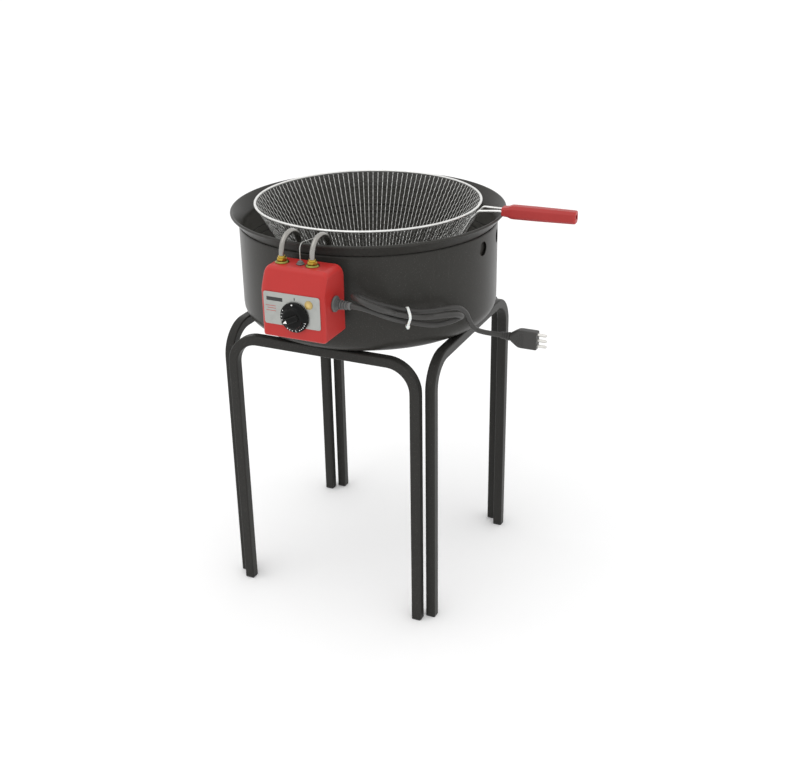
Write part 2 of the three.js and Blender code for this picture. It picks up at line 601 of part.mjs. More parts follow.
// ---- heating element and thermostat sensor ------------------------------
function addHeater() {
  const middle = (LEFT_RISER + RIGHT_RISER) / 2;
  const slant = HEATER_TOP - 61;
  const half = HEATER_HALF_LOOP;
  const near = HEATER_DROP + 80;
  const down = (x) => [
    [x, RISER_Y, BOX_TOP - BOX_WALL - 22],
    [x, RISER_Y, HEATER_TOP],
    [x, HEATER_DROP - 16, HEATER_TOP],
    [x, HEATER_DROP, slant],
    [x, HEATER_DROP, HEATER_LOOP],
    [x, near, HEATER_LOOP],
  ];
  const corners = [
    ...down(LEFT_RISER),
    [middle - half, near, HEATER_LOOP],
    [middle - half, half, HEATER_LOOP],
    [middle + half, half, HEATER_LOOP],
    [middle + half, near, HEATER_LOOP],
    ...down(RIGHT_RISER).reverse(),
  ];
  addNode('heating_element', tube(filleted(corners, HEATER_BEND, 5), HEATER_RADIUS, 10), satinSteel);

  const bore = (x, y, z, length) => rod('z', [x, y, z - 1], length + 2, HEATER_RADIUS + CLEARANCE, undefined, 16);
  for (const [side, x] of [['left', LEFT_RISER], ['right', RIGHT_RISER]]) {
    const washerBase = BOX_TOP + CLEARANCE;
    const washer = rod('z', [x, RISER_Y, washerBase], WASHER_HEIGHT, WASHER_RADIUS, WASHER_RADIUS * 0.86);
    addNode(`element_washer_${side}`, cut(washer, bore(x, RISER_Y, washerBase, WASHER_HEIGHT)), brass);
    const nutBase = washerBase + WASHER_HEIGHT + CLEARANCE;
    const nut = rod('z', [x, RISER_Y, nutBase], NUT_HEIGHT, NUT_RADIUS, NUT_RADIUS, 6);
    addNode(`element_nut_${side}`, cut(nut, bore(x, RISER_Y, nutBase, NUT_HEIGHT)), brass);
    const sleeveTop = slant - HEATER_BEND / 2;
    const sleeve = rod('z', [x, HEATER_DROP, sleeveTop - SLEEVE_LENGTH], SLEEVE_LENGTH, SLEEVE_RADIUS);
    const sleeveBore = bore(x, HEATER_DROP, sleeveTop - SLEEVE_LENGTH, SLEEVE_LENGTH);
    addNode(`element_sleeve_${side}`, cut(sleeve, sleeveBore), blackSleeve);
    const footX = side === 'left' ? middle - half : middle + half;
    for (const [end, y] of [['front', near + 30], ['back', half - 30]]) {
      const height = HEATER_FLOOR_GAP - HEATER_RADIUS - 2 * CLEARANCE;
      const foot = rod('z', [footX, y, PAN_FLOOR + CLEARANCE], height, 6, 3.5, 16);
      addNode(`element_foot_${side}_${end}`, foot, satinSteel);
    }
  }
}

function addSensor() {
  const top = HEATER_TOP - 6;
  const drop = HEATER_DROP + 6;
  const bulbTop = HEATER_LOOP + 62;
  const corners = [
    [CAPILLARY_X, RISER_Y, BOX_TOP - BOX_WALL - 10],
    [CAPILLARY_X, RISER_Y, top],
    [CAPILLARY_X, drop, top - 8],
    [CAPILLARY_X, drop, bulbTop + CLEARANCE],
  ];
  addNode('capillary_tube', tube(filleted(corners, 9, 4), CAPILLARY_RADIUS, 8), satinSteel);
  const grommetBase = BOX_TOP + CLEARANCE;
  const grommet = rod('z', [CAPILLARY_X, RISER_Y, grommetBase], 5, 6, 4, 20);
  const hole = rod('z', [CAPILLARY_X, RISER_Y, grommetBase - 1], 8, CAPILLARY_RADIUS + CLEARANCE, undefined, 10);
  addNode('capillary_gland', cut(grommet, hole), greyPlastic);
  const length = Math.min(BULB_LENGTH, bulbTop - HEATER_LOOP - HEATER_RADIUS);
  const bulb = rod('z', [CAPILLARY_X, drop, bulbTop - length], length, BULB_RADIUS, BULB_RADIUS, 16);
  addNode('thermostat_bulb', bulb, satinSteel);
}

// ---- basket -------------------------------------------------------------
const basketRadius = (height) => RING_RADIUS - BASKET_TAPER * (RING_HEIGHT - height);

function ringSolid(radius, wire, height, segments, sides) {
  return new THREE.TorusGeometry(radius, wire, sides, segments).translate(0, 0, height);
}

function addBasket() {
  const turn = THREE.MathUtils.degToRad(BASKET_TURN);
  const wall = [
    [0, BASKET_BASE],
    [basketRadius(BASKET_BASE), BASKET_BASE],
    [basketRadius(BASKET_TOP), BASKET_TOP],
    [basketRadius(BASKET_TOP) - BASKET_WALL, BASKET_TOP],
    [basketRadius(BASKET_BASE) - BASKET_WALL, BASKET_BASE + BASKET_WALL],
    [0, BASKET_BASE + BASKET_WALL],
  ];
  addNode('basket_mesh', turned(wall, ROUND_SEGMENTS).rotateZ(turn), steel);
  addNode('basket_ring', ringSolid(RING_RADIUS, RING_WIRE, RING_HEIGHT, ROUND_SEGMENTS, 8).rotateZ(turn), steel);

  const hoopHeight = BASKET_BASE + 3;
  const hoopRadius = basketRadius(hoopHeight) + 3;
  addNode('basket_hoop', ringSolid(hoopRadius, 2, hoopHeight, 48, 6).rotateZ(turn), steel);

  const gripEnd = GRIP_START + 22;
  for (const [side, sign] of [['front', -1], ['back', 1]]) {
    const atRing = (sign * HANDLE_SPREAD) / 2;
    const atGrip = (sign * HANDLE_PITCH) / 2;
    const outside = RING_RADIUS + RING_WIRE + HANDLE_WIRE + CLEARANCE;
    const ribTop = RING_HEIGHT - 12;
    const ribBase = hoopHeight + 6;
    const away = HANDLE_WIRE + 0.6;
    const corners = [
      [gripEnd, atGrip, RING_HEIGHT + 1],
      [GRIP_START - 6, atGrip, RING_HEIGHT + 1],
      [outside + 4, atRing, RING_HEIGHT],
      [basketRadius(ribTop) + away + 2, atRing, ribTop],
      [basketRadius(ribBase) + away, atRing, ribBase],
    ];
    addNode(`basket_wire_${side}`, tube(filleted(corners, 6, 4), HANDLE_WIRE, 8).rotateZ(turn), steel);
  }
  addNode('basket_grip', grip().rotateZ(turn), gripPlastic);
}

// A bevelled bar that thickens from its neck and tapers to its outer end.
function grip() {
  const section = (x, halfWidth, halfHeight) => {
    const bevel = Math.min(halfWidth, halfHeight) * 0.42;
    const corners = [
      [halfWidth, halfHeight - bevel], [halfWidth - bevel, halfHeight],
      [bevel - halfWidth, halfHeight], [-halfWidth, halfHeight - bevel],
      [-halfWidth, bevel - halfHeight], [bevel - halfWidth, -halfHeight],
      [halfWidth - bevel, -halfHeight], [halfWidth, bevel - halfHeight],
    ];
    return corners.map(([y, z]) => [x, y, RING_HEIGHT + z]);
  };
  const half = GRIP_SIZE / 2;
  const end = GRIP_START + GRIP_LENGTH;
  const rings = [
    section(GRIP_START, half * 0.82, half * 0.66),
    section(GRIP_START + 8, half * 0.9, half * 0.72),
    section(GRIP_START + 16, half * 1.02, half * 1.02),
    section(GRIP_START + GRIP_LENGTH * 0.45, half * 1.02, half),
    section(end - 3, half * 0.98, half * 0.94),
    section(end, half * 0.9, half * 0.86),
  ];
  const positions = rings.flat(2);
  const index = [];
  const around = 8;
  for (let r = 0; r < rings.length - 1; r += 1) {
    for (let i = 0; i < around; i += 1) {
      const a = r * around + i;
      const b = r * around + ((i + 1) % around);
      index.push(a, b, b + around, a, b + around, a + around);
    }
  }
  const last = (rings.length - 1) * around;
  for (let i = 1; i < around - 1; i += 1) {
    index.push(0, i + 1, i);
    index.push(last, last + i, last + i + 1);
  }
  const geometry = new THREE.BufferGeometry();
  geometry.setAttribute('position', new THREE.Float32BufferAttribute(positions, 3));
  geometry.setIndex(index);
  const wireBores = [-1, 1].map((sign) => {
    const y = (sign * HANDLE_PITCH) / 2;
    return rod('x', [GRIP_START - 1, y, RING_HEIGHT + 1], 24, HANDLE_WIRE + CLEARANCE, undefined, 12);
  });
  const slot = block([end - 7, -4.5, RING_HEIGHT - 2], [end + 1, 4.5, RING_HEIGHT + 2.5]);
  return cut(geometry, ...wireBores, slot);
}

// ---- cord, strain relief and plug ---------------------------------------
function addRelief() {
  const lowest = RELIEF_X;
  const flange = rod('x', [lowest, RELIEF_Y, RELIEF_Z], 3.5, RELIEF_FLANGE, RELIEF_FLANGE - 1);
  const taper = rod('x', [lowest + 3, RELIEF_Y, RELIEF_Z], RELIEF_LENGTH - 3, 7, 5);
  const stub = rod('x', [lowest - 5, RELIEF_Y, RELIEF_Z], 6, 5);
  addNode('strain_relief', join(flange, taper, stub), greyPlastic);
}

function addCord() {
  const points = CORD_ROUTE.map((point) => new THREE.Vector3(...point));
  const curve = new THREE.CatmullRomCurve3(points, false, 'centripetal');
  const stations = curve.getSpacedPoints(CORD_STEPS);
  addNode('cord', tube(stations, CORD_RADIUS, 10), cordRubber);

  // The tie's band is the hull of circles round the strands where they cross its plane.
  const along = new THREE.Vector3(...TIE_ALONG).normalize();
  const sideways = new THREE.Vector3(0, 0, 1).cross(along).normalize();
  const upward = along.clone().cross(sideways);
  const middle = new THREE.Vector3(...TIE_MIDDLE);
  const centres = crossings(curve, middle, along).map((place) =>
    new THREE.Vector2(place.dot(sideways), place.dot(upward)));
  centres.sort((one, other) => one.y - other.y);
  const inner = CORD_RADIUS + CLEARANCE + TIE_SLACK;
  const outline = hullOfCircles(centres, inner + TIE_THICKNESS);
  const opening = hullOfCircles(centres, inner);
  const settings = { depth: TIE_WIDTH, bevelEnabled: false };
  const band = new THREE.ExtrudeGeometry(new THREE.Shape(outline), settings);
  const hollow = new THREE.ExtrudeGeometry(new THREE.Shape(opening), { ...settings, depth: TIE_WIDTH + 2 });
  hollow.translate(0, 0, -1);
  const lowest = centres[0];
  const drop = lowest.y - inner - TIE_THICKNESS;
  const head = block([lowest.x - 3, drop - 3.2, -1], [lowest.x + 3, drop + 0.6, TIE_WIDTH + 1]);
  const basis = new THREE.Matrix4().makeBasis(sideways, upward, along);
  basis.setPosition(middle.clone().addScaledVector(along, -TIE_WIDTH / 2));
  addNode('cord_tie', cut(join(band, head), hollow).applyMatrix4(basis), white);
}

// Where a curve passes near a middle point through the plane across a direction, from that point.
function crossings(curve, middle, along) {
  const places = curve.getSpacedPoints(600).map((point) => point.sub(middle));
  const found = [];
  for (let i = 1; i < places.length; i += 1) {
    const before = places[i - 1].dot(along);
    const after = places[i].dot(along);
    if (before * after <= 0 && places[i].length() < 25) {
      found.push(places[i - 1].clone().lerp(places[i], before / (before - after)));
    }
  }
  return found;
}

function hullOfCircles(centres, radius) {
  const points = [];
  for (const centre of centres) {
    for (let i = 0; i < 16; i += 1) {
      const angle = (2 * Math.PI * i) / 16;
      points.push([centre.x + radius * Math.cos(angle), centre.y + radius * Math.sin(angle)]);
    }
  }
  points.sort((a, b) => a[0] - b[0] || a[1] - b[1]);
  const chain = (list) => {
    const hull = [];
    for (const point of list) {
      while (hull.length > 1 && turnOf(hull[hull.length - 2], hull[hull.length - 1], point) <= 1e-6) {
        hull.pop();
      }
      hull.push(point);
    }
    hull.pop();
    return hull;
  };
  const corners = [...chain(points), ...chain([...points].reverse())];
  return corners.map(([x, y]) => new THREE.Vector2(x, y));
}

function turnOf(a, b, c) {
  return (b[0] - a[0]) * (c[1] - a[1]) - (b[1] - a[1]) * (c[0] - a[0]);
}

function addPlug() {
  const [endX, endY, endZ] = CORD_ROUTE[CORD_ROUTE.length - 1];
  const neckStart = endX + CLEARANCE;
  const bodyStart = neckStart + PLUG_NECK;
  const bodyEnd = bodyStart + PLUG_LENGTH;
  const neck = rod('x', [neckStart, endY, endZ], PLUG_NECK + 6, CORD_RADIUS + 1, CORD_RADIUS + 3, 16);
  const half = PLUG_HEIGHT / 2;
  const outline = new THREE.Shape();
  outline.moveTo(bodyStart, -half * 0.45);
  outline.lineTo(bodyStart + 9, -half * 0.9);
  outline.lineTo(bodyStart + 20, -half);
  outline.lineTo(bodyEnd, -half);
  outline.lineTo(bodyEnd, half);
  outline.lineTo(bodyStart + 20, half);
  outline.lineTo(bodyStart + 9, half * 0.9);
  outline.lineTo(bodyStart, half * 0.45);
  outline.closePath();
  const settings = {
    depth: PLUG_THICKNESS - 5,
    bevelThickness: 2.5,
    bevelSize: 2.5,
    bevelOffset: -2.5,
    bevelSegments: 2,
  };
  const body = new THREE.ExtrudeGeometry(outline, settings);
  body.translate(0, 0, -(PLUG_THICKNESS - 5) / 2).rotateX(Math.PI / 2).translate(0, endY, endZ);
  const pinHoles = [];
  for (const [name, step] of [['live', 1], ['earth', 0], ['neutral', -1]]) {
    const z = endZ + step * PIN_PITCH;
    pinHoles.push(rod('x', [bodyEnd - 6, endY, z], 8, PIN_RADIUS + CLEARANCE, undefined, 14));
    addNode(`plug_pin_${name}`, rod('x', [bodyEnd - 5.5, endY, z], PIN_LENGTH + 5.5, PIN_RADIUS, undefined, 14), steel);
  }
  addNode('plug', cut(join(body, neck), ...pinHoles), cordRubber);
}

// ---- assembly -----------------------------------------------------------
addCasing();
addOilPan();
addStand();
addControlBox();
addLabelAndLamp();
addThermostat();
addHeater();
addSensor();
addBasket();
addRelief();
addCord();
addPlug();

// The origin is under the middle of the object without its cord, on the floor.
const bounds = new THREE.Box3();
for (const mesh of object.children) {
  mesh.geometry.computeBoundingBox();
  if (!cordNodes.includes(mesh.name)) {
    bounds.union(mesh.geometry.boundingBox);
  }
}
const centre = bounds.getCenter(new THREE.Vector3());
object.position.set(-centre.x, -centre.y, -bounds.min.z);
object.updateMatrixWorld(true);

export default object;
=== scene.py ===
"""The looks of a round electric deep fryer on a tubular stand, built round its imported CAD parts.

Shapes are worked out in millimetres from the kettle's axis at floor level and made in metres.
A shell is a tuple of points, four-sided faces and three-sided faces; a piece is one or more shells.
"""
import math

import bpy
import numpy as np
from mathutils import Matrix, Vector


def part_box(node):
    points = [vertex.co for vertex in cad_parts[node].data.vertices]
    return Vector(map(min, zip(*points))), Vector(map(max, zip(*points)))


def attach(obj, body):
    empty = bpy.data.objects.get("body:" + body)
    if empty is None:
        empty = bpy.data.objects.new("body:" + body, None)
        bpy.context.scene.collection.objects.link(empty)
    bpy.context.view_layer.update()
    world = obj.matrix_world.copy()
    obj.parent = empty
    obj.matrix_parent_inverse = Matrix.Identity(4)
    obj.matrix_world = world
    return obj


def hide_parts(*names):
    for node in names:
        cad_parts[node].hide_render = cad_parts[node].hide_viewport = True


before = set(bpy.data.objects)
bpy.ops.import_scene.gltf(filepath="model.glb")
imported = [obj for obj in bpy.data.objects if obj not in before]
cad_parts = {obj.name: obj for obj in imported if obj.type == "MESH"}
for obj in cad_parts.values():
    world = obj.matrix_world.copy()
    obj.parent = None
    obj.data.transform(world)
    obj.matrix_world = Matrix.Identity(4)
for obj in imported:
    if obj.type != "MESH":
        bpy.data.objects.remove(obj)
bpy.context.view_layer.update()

# ---- measures -------------------------------------------------------------------------
MM = 0.001
AXIS = (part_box("oil_pan")[0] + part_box("oil_pan")[1]) / 2
AXIS.z = 0


def span(node):
    """The lowest and highest corners of a CAD node, in millimetres from the kettle's axis."""
    low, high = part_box(node)
    return np.array(low - AXIS) / MM, np.array(high - AXIS) / MM


def middle(node):
    """The middle of a CAD node's box, in millimetres from the kettle's axis."""
    low, high = span(node)
    return (low + high) / 2


PAN_LOW, PAN_HIGH = span("oil_pan")
CASING_LOW, CASING_HIGH = span("casing")
BOX_LOW, BOX_HIGH = span("box_cover")
HEATER_LOW, HEATER_HIGH = span("heating_element")
RING_LOW, RING_HIGH = span("basket_ring")

LIP_RADIUS = PAN_HIGH[0]
LIP_TOP = PAN_HIGH[2]
LIP_BEAD = 2.2
CASING_RADIUS = CASING_HIGH[0]
CASING_TOP = CASING_HIGH[2]
CASING_BASE = CASING_LOW[2]
CASING_WALL = 1.5
CASING_CORNER = 28
PAN_WALL = 1.2
PAN_RADIUS = CASING_RADIUS - CASING_WALL - 3
VENT_RADIUS = 11
VENT_POINTS = 32                   # points round each vent's edge
VENT_HEIGHT = CASING_TOP - 22
FIRST_VENT = -6.5                  # degrees; the others stand 20, 180 and 200 further round
LEVEL_LINES = (567, 579)           # heights of the two oil level lines pressed in the pan

LEG_SIDE = 16
LEG_EDGE = 2.4                     # round on the edges of the square tube
FRAME_OFFSET = 176.5
LEG_OFFSET = 158.5
FRAME_BEND = 46
TUBE_BASE = 3                      # the tube's lower end, above its foot's cap
FRAME_TOP = CASING_BASE - 0.3 - LEG_SIDE / 2

POINTER_ANGLE = 205                # the way the knob's bar points, in degrees on its face
HEATER_RADIUS = 4
HEATER_BEND = 25
HEATER_RISER_Y = HEATER_LOW[1] + HEATER_RADIUS
HEATER_DROP_Y = -187.3             # where the element goes down inside the pan
HEATER_LOOP_HALF = 77
HEATER_RUN = 80                    # from the drop to where the loop spreads
SENSOR_Y = HEATER_DROP_Y + 6
BASKET_TURN = 3.5                  # degrees
RING_WIRE = 2.6
RIM_WIRE = 2.0                     # the rim as it shows
RING_RADIUS = RING_HIGH[0] - RING_WIRE
RING_HEIGHT = (RING_LOW[2] + RING_HIGH[2]) / 2
BASKET_FOOT_RADIUS = 93
BASKET_BASE = span("basket_mesh")[0][2]
BASKET_TAPER = (RING_RADIUS - BASKET_FOOT_RADIUS) / (RING_HEIGHT - BASKET_BASE)
WARP_WIRES = 128                   # wires that run down the basket's wall
WARP_RADIUS = 0.5
WEFT_PITCH = 6.2                   # between the hoops of the weave, along the slope
WEFT_RADIUS = 0.3
CRIMP = 0.55                       # how far a woven wire bends each way
BASE_PITCH = 6.0                   # between the wires of the woven base
FOOT_WIRE = 1.7
HANDLE_WIRE = 2
GRIP_START = LIP_RADIUS + 3
GRIP_LENGTH = 115
GRIP_HALF = 10

PLUG_LENGTH = 42
CORD_RADIUS = 4
TIE_MIDDLE = np.array((148.0, -178.0, 530.0))
TIE_ALONG = np.array((0.73, 0.61, 0.0))
# The cord's route in metres from the kettle's axis, from the strain relief to the plug's neck.
CORD_ROUTE = np.array((
    (0.0928, -0.252, 0.5635), (0.111, -0.2505, 0.562), (0.1245, -0.2425, 0.5555),
    (0.1305, -0.2285, 0.5465), (0.1315, -0.207, 0.5355), (0.1375, -0.1885, 0.526),
    (0.150, -0.171, 0.5185), (0.167, -0.1535, 0.511), (0.179, -0.139, 0.5075),
    (0.1935, -0.131, 0.511), (0.208, -0.1325, 0.519), (0.218, -0.1425, 0.528),
    (0.218, -0.158, 0.5355), (0.2095, -0.172, 0.539), (0.1945, -0.180, 0.5375),
    (0.1755, -0.179, 0.533), (0.1575, -0.1805, 0.5315), (0.1435, -0.1895, 0.535),
    (0.137, -0.204, 0.542), (0.1385, -0.2235, 0.5515), (0.136, -0.2395, 0.559),
    (0.1245, -0.2495, 0.5665), (0.1085, -0.251, 0.5725), (0.094, -0.243, 0.574),
    (0.086, -0.2285, 0.5705), (0.088, -0.2135, 0.5635), (0.099, -0.2035, 0.555),
    (0.1185, -0.194, 0.5475), (0.139, -0.181, 0.540), (0.1575, -0.166, 0.5345),
    (0.1755, -0.1485, 0.5325), (0.191, -0.130, 0.532), (0.201, -0.1125, 0.528),
    (0.2065, -0.099, 0.517), (0.210, -0.0865, 0.497), (0.215, -0.074, 0.4815),
    (0.224, -0.0625, 0.474), (0.233, -0.0575, 0.4715), (0.240, -0.0565, 0.471),
    (0.248, -0.0565, 0.471),
))


# ---- lines ----------------------------------------------------------------------------
def unit(vectors):
    """Each vector divided by its own length."""
    return vectors / np.linalg.norm(vectors, axis=-1, keepdims=True)


def filleted(corners, radii, steps=8, closed=False):
    """A line through the corners, with each inner corner turned into an arc that touches both runs.

    The arc's centre lies on the corner's bisector at radius / sin(half the corner's angle), and its
    points are centre + radius * (cos a * first + sin a * second) for a from 0 to the turn."""
    corners = np.asarray(corners, float)
    count = len(corners)
    radii = np.broadcast_to(radii, count)
    points = [] if closed else [corners[:1]]
    for i in range(count) if closed else range(1, count - 1):
        here = corners[i]
        back = unit(corners[i - 1] - here)
        on = unit(corners[(i + 1) % count] - here)
        half = math.acos(np.clip(back @ on, -1, 1)) / 2
        if math.pi / 2 - half < 1e-4:
            points.append(here[None])
            continue
        centre = here + unit(back + on) * radii[i] / math.sin(half)
        first = here + back * radii[i] / math.tan(half) - centre
        turn = np.linspace(0, math.pi - 2 * half, steps + 1)[:, None]
        points.append(centre + np.cos(turn) * first - np.sin(turn) * back * radii[i])
    if not closed:
        points.append(corners[-1:])
    return np.vstack(points)


def catmull_rom(points, steps):
    """The centripetal Catmull-Rom curve through the points: straight lines between neighbours are
    mixed twice over, ((tb - t) a + (t - ta) b) / (tb - ta), with knots spaced by the square root of
    the distance between the points."""
    ends = np.vstack([2 * points[0] - points[1], points, 2 * points[-1] - points[-2]])
    gaps = np.sqrt(np.linalg.norm(np.diff(ends, axis=0), axis=1))
    knots = np.concatenate([[0], np.cumsum(gaps)])
    stretches = len(points) - 1
    mixed = [ends[i:stretches + i, None] for i in range(4)]
    knot = [knots[i:stretches + i, None, None] for i in range(4)]
    t = knot[1] + (knot[2] - knot[1]) * np.linspace(0, 1, steps, endpoint=False)[None, :, None]

    def mix(first, second, start, end):
        return (end - t) / (end - start) * first + (t - start) / (end - start) * second

    for reach in (1, 2):
        mixed = [mix(mixed[i], mixed[i + 1], knot[i], knot[i + reach]) for i in range(4 - reach)]
    curve = mix(*mixed, knot[1], knot[2])
    return np.vstack([curve.reshape(-1, 3), points[-1:]])


def full_turn(count):
    """So many angles evenly round a circle."""
    return np.linspace(0, 2 * math.pi, count, endpoint=False)


def polar(radius, angle, height):
    """Points at x = r cos a, y = r sin a and z = h."""
    places = np.broadcast_arrays(radius * np.cos(angle), radius * np.sin(angle), height)
    return np.stack(places, axis=-1)


def level(line, height):
    """A line in X and Y, lifted to a height."""
    return np.column_stack([line, np.full(len(line), height)])


def spaced(line, step):
    """The same line with extra points, so that none are further apart than the step."""
    length = np.concatenate([[0], np.cumsum(np.linalg.norm(np.diff(line, axis=0), axis=1))])
    extra = np.arange(0, length[-1], step)
    places = np.unique(np.concatenate([length, extra]).round(4))
    return np.stack([np.interp(places, length, line[:, k]) for k in range(line.shape[1])], axis=1)


def round_box_line(width, height, radius, steps=4):
    """A rectangle about its middle with rounded corners, as a closed outline."""
    x, y = width / 2, height / 2
    return filleted([(x, -y), (x, y), (-x, y), (-x, -y)], radius, steps, closed=True)


# ---- shells ---------------------------------------------------------------------------
def grid(points, looped=False, poles=None):
    """Faces over a grid of points [row, column], joined round its columns and perhaps its rows.

    Rows that aren't joined are closed at each end by a fan to a pole: the row's middle, or the one
    given."""
    points = np.asarray(points)
    rows, columns = points.shape[:2]
    flat = points.reshape(-1, 3)
    index = np.arange(rows * columns).reshape(rows, columns)
    index = np.hstack([index, index[:, :1]])
    if looped:
        index = np.vstack([index, index[:1]])
    corners = (index[:-1, :-1], index[:-1, 1:], index[1:, 1:], index[1:, :-1])
    quads = np.stack(corners, axis=-1).reshape(-1, 4)
    tris = np.zeros((0, 3), int)
    if not looped:
        start, end = poles if poles is not None else (points[0].mean(0), points[-1].mean(0))
        first, last = index[0], index[-1]
        low = np.stack([first[1:], first[:-1], np.full(columns, len(flat))], axis=1)
        high = np.stack([last[:-1], last[1:], np.full(columns, len(flat) + 1)], axis=1)
        tris = np.vstack([low, high])
        flat = np.vstack([flat, start, end])
    return facing_out((flat, quads, tris))


def facing_out(shell):
    """The shell with its faces reversed if its signed volume is negative."""
    points, quads, tris = shell
    split = np.vstack([quads[:, :3], quads[:, [0, 2, 3]], tris])
    a, b, c = (points[split[:, i]] - points.mean(0) for i in range(3))
    if np.einsum("ij,ij->", a, np.cross(b, c)) < 0:
        return points, quads[:, ::-1], tris[:, ::-1]
    return shell


def gathered(shells):
    """Several shells as one."""
    starts = np.cumsum([0] + [len(points) for points, _, _ in shells])
    return (
        np.vstack([points for points, _, _ in shells]),
        np.vstack([quads + start for (_, quads, _), start in zip(shells, starts)]),
        np.vstack([tris + start for (_, _, tris), start in zip(shells, starts)]),
    )


def moved(shell, turn=None, shift=(0, 0, 0)):
    """The shell turned by a 3 by 3 matrix whose columns are its new axes, then shifted."""
    points, quads, tris = shell
    if turn is not None:
        points = points @ np.asarray(turn, float).T
    return points + np.asarray(shift, float), quads, tris


def about_z(degrees):
    """The matrix that turns by so many degrees about the upright axis."""
    c, s = math.cos(math.radians(degrees)), math.sin(math.radians(degrees))
    return np.array(((c, -s, 0), (s, c, 0), (0, 0, 1)))


ALONG_X = np.array(((0, 0, 1), (1, 0, 0), (0, 1, 0)))     # a shape made along Z, laid along +X
OUT_FRONT = np.array(((1, 0, 0), (0, 0, -1), (0, 1, 0)))  # a shape made along Z, pointing to -Y


def turned(profile, segments):
    """A profile of (radius, height) turned about the Z axis, with its ends on the axis as poles."""
    profile = np.asarray(profile, float)
    start = (0, 0, profile[0, 1])
    end = (0, 0, profile[-1, 1])
    inner = profile[(1 if profile[0, 0] == 0 else 0):(-1 if profile[-1, 0] == 0 else None)]
    return grid(polar(inner[:, :1], full_turn(segments), inner[:, 1:]), poles=(start, end))


def hoop(radius, wire, height, segments, sides):
    """A ring of round wire: a circle of the wire's radius carried round a circle."""
    around = full_turn(sides)
    points = polar(radius + wire * np.cos(around), full_turn(segments)[:, None],
                   height + wire * np.sin(around))
    return grid(points, looped=True)


def carried(line, first_side):
    """Two directions square to the line at each point, kept from twisting: each side is the last
    one with its part along the new tangent taken away."""
    tangents = unit(np.gradient(line, axis=0))
    side = np.asarray(first_side, float)
    sides = []
    for tangent in tangents:
        side = unit(side - tangent * (side @ tangent))
        sides.append(side)
    sides = np.array(sides)
    return sides, np.cross(tangents, sides)


def swept(line, section, first_side):
    """A closed section carried along a line: point = line + u * side + v * other side."""
    side, other = carried(line, first_side)
    across = section[None, :, :1] * side[:, None]
    return grid(line[:, None] + across + section[None, :, 1:] * other[:, None])


def ring_section(radius, sides):
    """A circle about the origin as a closed outline."""
    return polar(radius, full_turn(sides), 0)[:, :2]


def rod(line, radius, first_side=(1, 0, 0), sides=20):
    """A round rod along a line."""
    return swept(line, ring_section(radius, sides), first_side)


def soft_block(width, depth, height, edge, corner=None, steps=3):
    """A block about its middle whose outline has rounded corners and whose end edges are rounded:
    each row is drawn in by edge * (1 - sin a) at a height edge * (1 - cos a) from the end."""
    corner = edge if corner is None else corner
    turn = np.linspace(0, math.pi / 2, steps + 1)
    inset = edge * (1 - np.sin(turn))
    rise = edge * (1 - np.cos(turn))
    insets = np.concatenate([inset, inset[::-1]])
    heights = np.concatenate([rise - height / 2, height / 2 - rise[::-1]])
    return grid([level(round_box_line(width - 2 * i, depth - 2 * i, max(corner - i, 0.05)), height)
                 for i, height in zip(insets, heights)])


def numeral(text, size, depth):
    """A word of the plain built-in font as a thin shell in X and Y, its middle at the origin."""
    curve = bpy.data.curves.new("numeral", "FONT")
    curve.body = text
    curve.size = size
    curve.extrude = depth / 2
    curve.resolution_u = 2
    curve.align_x = "CENTER"
    curve.align_y = "CENTER"
    holder = bpy.data.objects.new("numeral", curve)
    bpy.context.scene.collection.objects.link(holder)
    bpy.context.view_layer.update()
    shown = holder.evaluated_get(bpy.context.evaluated_depsgraph_get())
    mesh = bpy.data.meshes.new_from_object(shown)
    mesh.calc_loop_triangles()
    points = np.zeros(len(mesh.vertices) * 3)
    mesh.vertices.foreach_get("co", points)
    tris = np.zeros(len(mesh.loop_triangles) * 3, int)
    mesh.loop_triangles.foreach_get("vertices", tris)
    bpy.data.objects.remove(holder)
    bpy.data.curves.remove(curve)
    bpy.data.meshes.remove(mesh)
    return points.reshape(-1, 3), np.zeros((0, 4), int), tris.reshape(-1, 3)


# ---- pieces ---------------------------------------------------------------------------
def piece(name, shells, body, slot, material, replaces=(), crease=38, weighted=False):
    """A mesh object made from shells, riding on a CAD body and standing for the CAD nodes named."""
    points, quads, tris = gathered(shells)
    mesh = bpy.data.meshes.new(name)
    mesh.vertices.add(len(points))
    places = points * MM + np.array(AXIS)
    mesh.vertices.foreach_set("co", places.ravel())
    corners = np.concatenate([quads.ravel(), tris.ravel()]).astype(np.int32)
    mesh.loops.add(len(corners))
    mesh.loops.foreach_set("vertex_index", corners)
    starts = np.concatenate([np.arange(len(quads)) * 4, quads.size + np.arange(len(tris)) * 3])
    mesh.polygons.add(len(starts))
    mesh.polygons.foreach_set("loop_start", starts.astype(np.int32))
    mesh.polygons.foreach_set("use_smooth", np.ones(len(starts), bool))
    mesh.update(calc_edges=True)
    mesh.validate()
    mesh.set_sharp_from_angle(angle=math.radians(crease))
    mesh.materials.append(material)
    made = bpy.data.objects.new(name, mesh)
    bpy.context.scene.collection.objects.link(made)
    if weighted:
        made.modifiers.new("even faces", "WEIGHTED_NORMAL").keep_sharp = True
    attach(made, body)
    if replaces:
        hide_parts(*replaces)
    return made


def on_unit(name, shell, slot, material, *nodes, **options):
    """A piece of one shell that rides on the control unit."""
    return piece(name, [shell], "control_unit", slot, material, nodes, **options)


def on_basket(name, shell, slot, material, *nodes, **options):
    """A piece of one shell that rides on the basket, turned with it."""
    shell = moved(shell, about_z(BASKET_TURN))
    return piece(name, [shell], "basket", slot, material, nodes, **options)


def dressed(node, material):
    """A CAD node shown as it is, in its own finish."""
    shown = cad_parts[node]
    shown.data.materials.clear()
    shown.data.materials.append(material)
    return shown


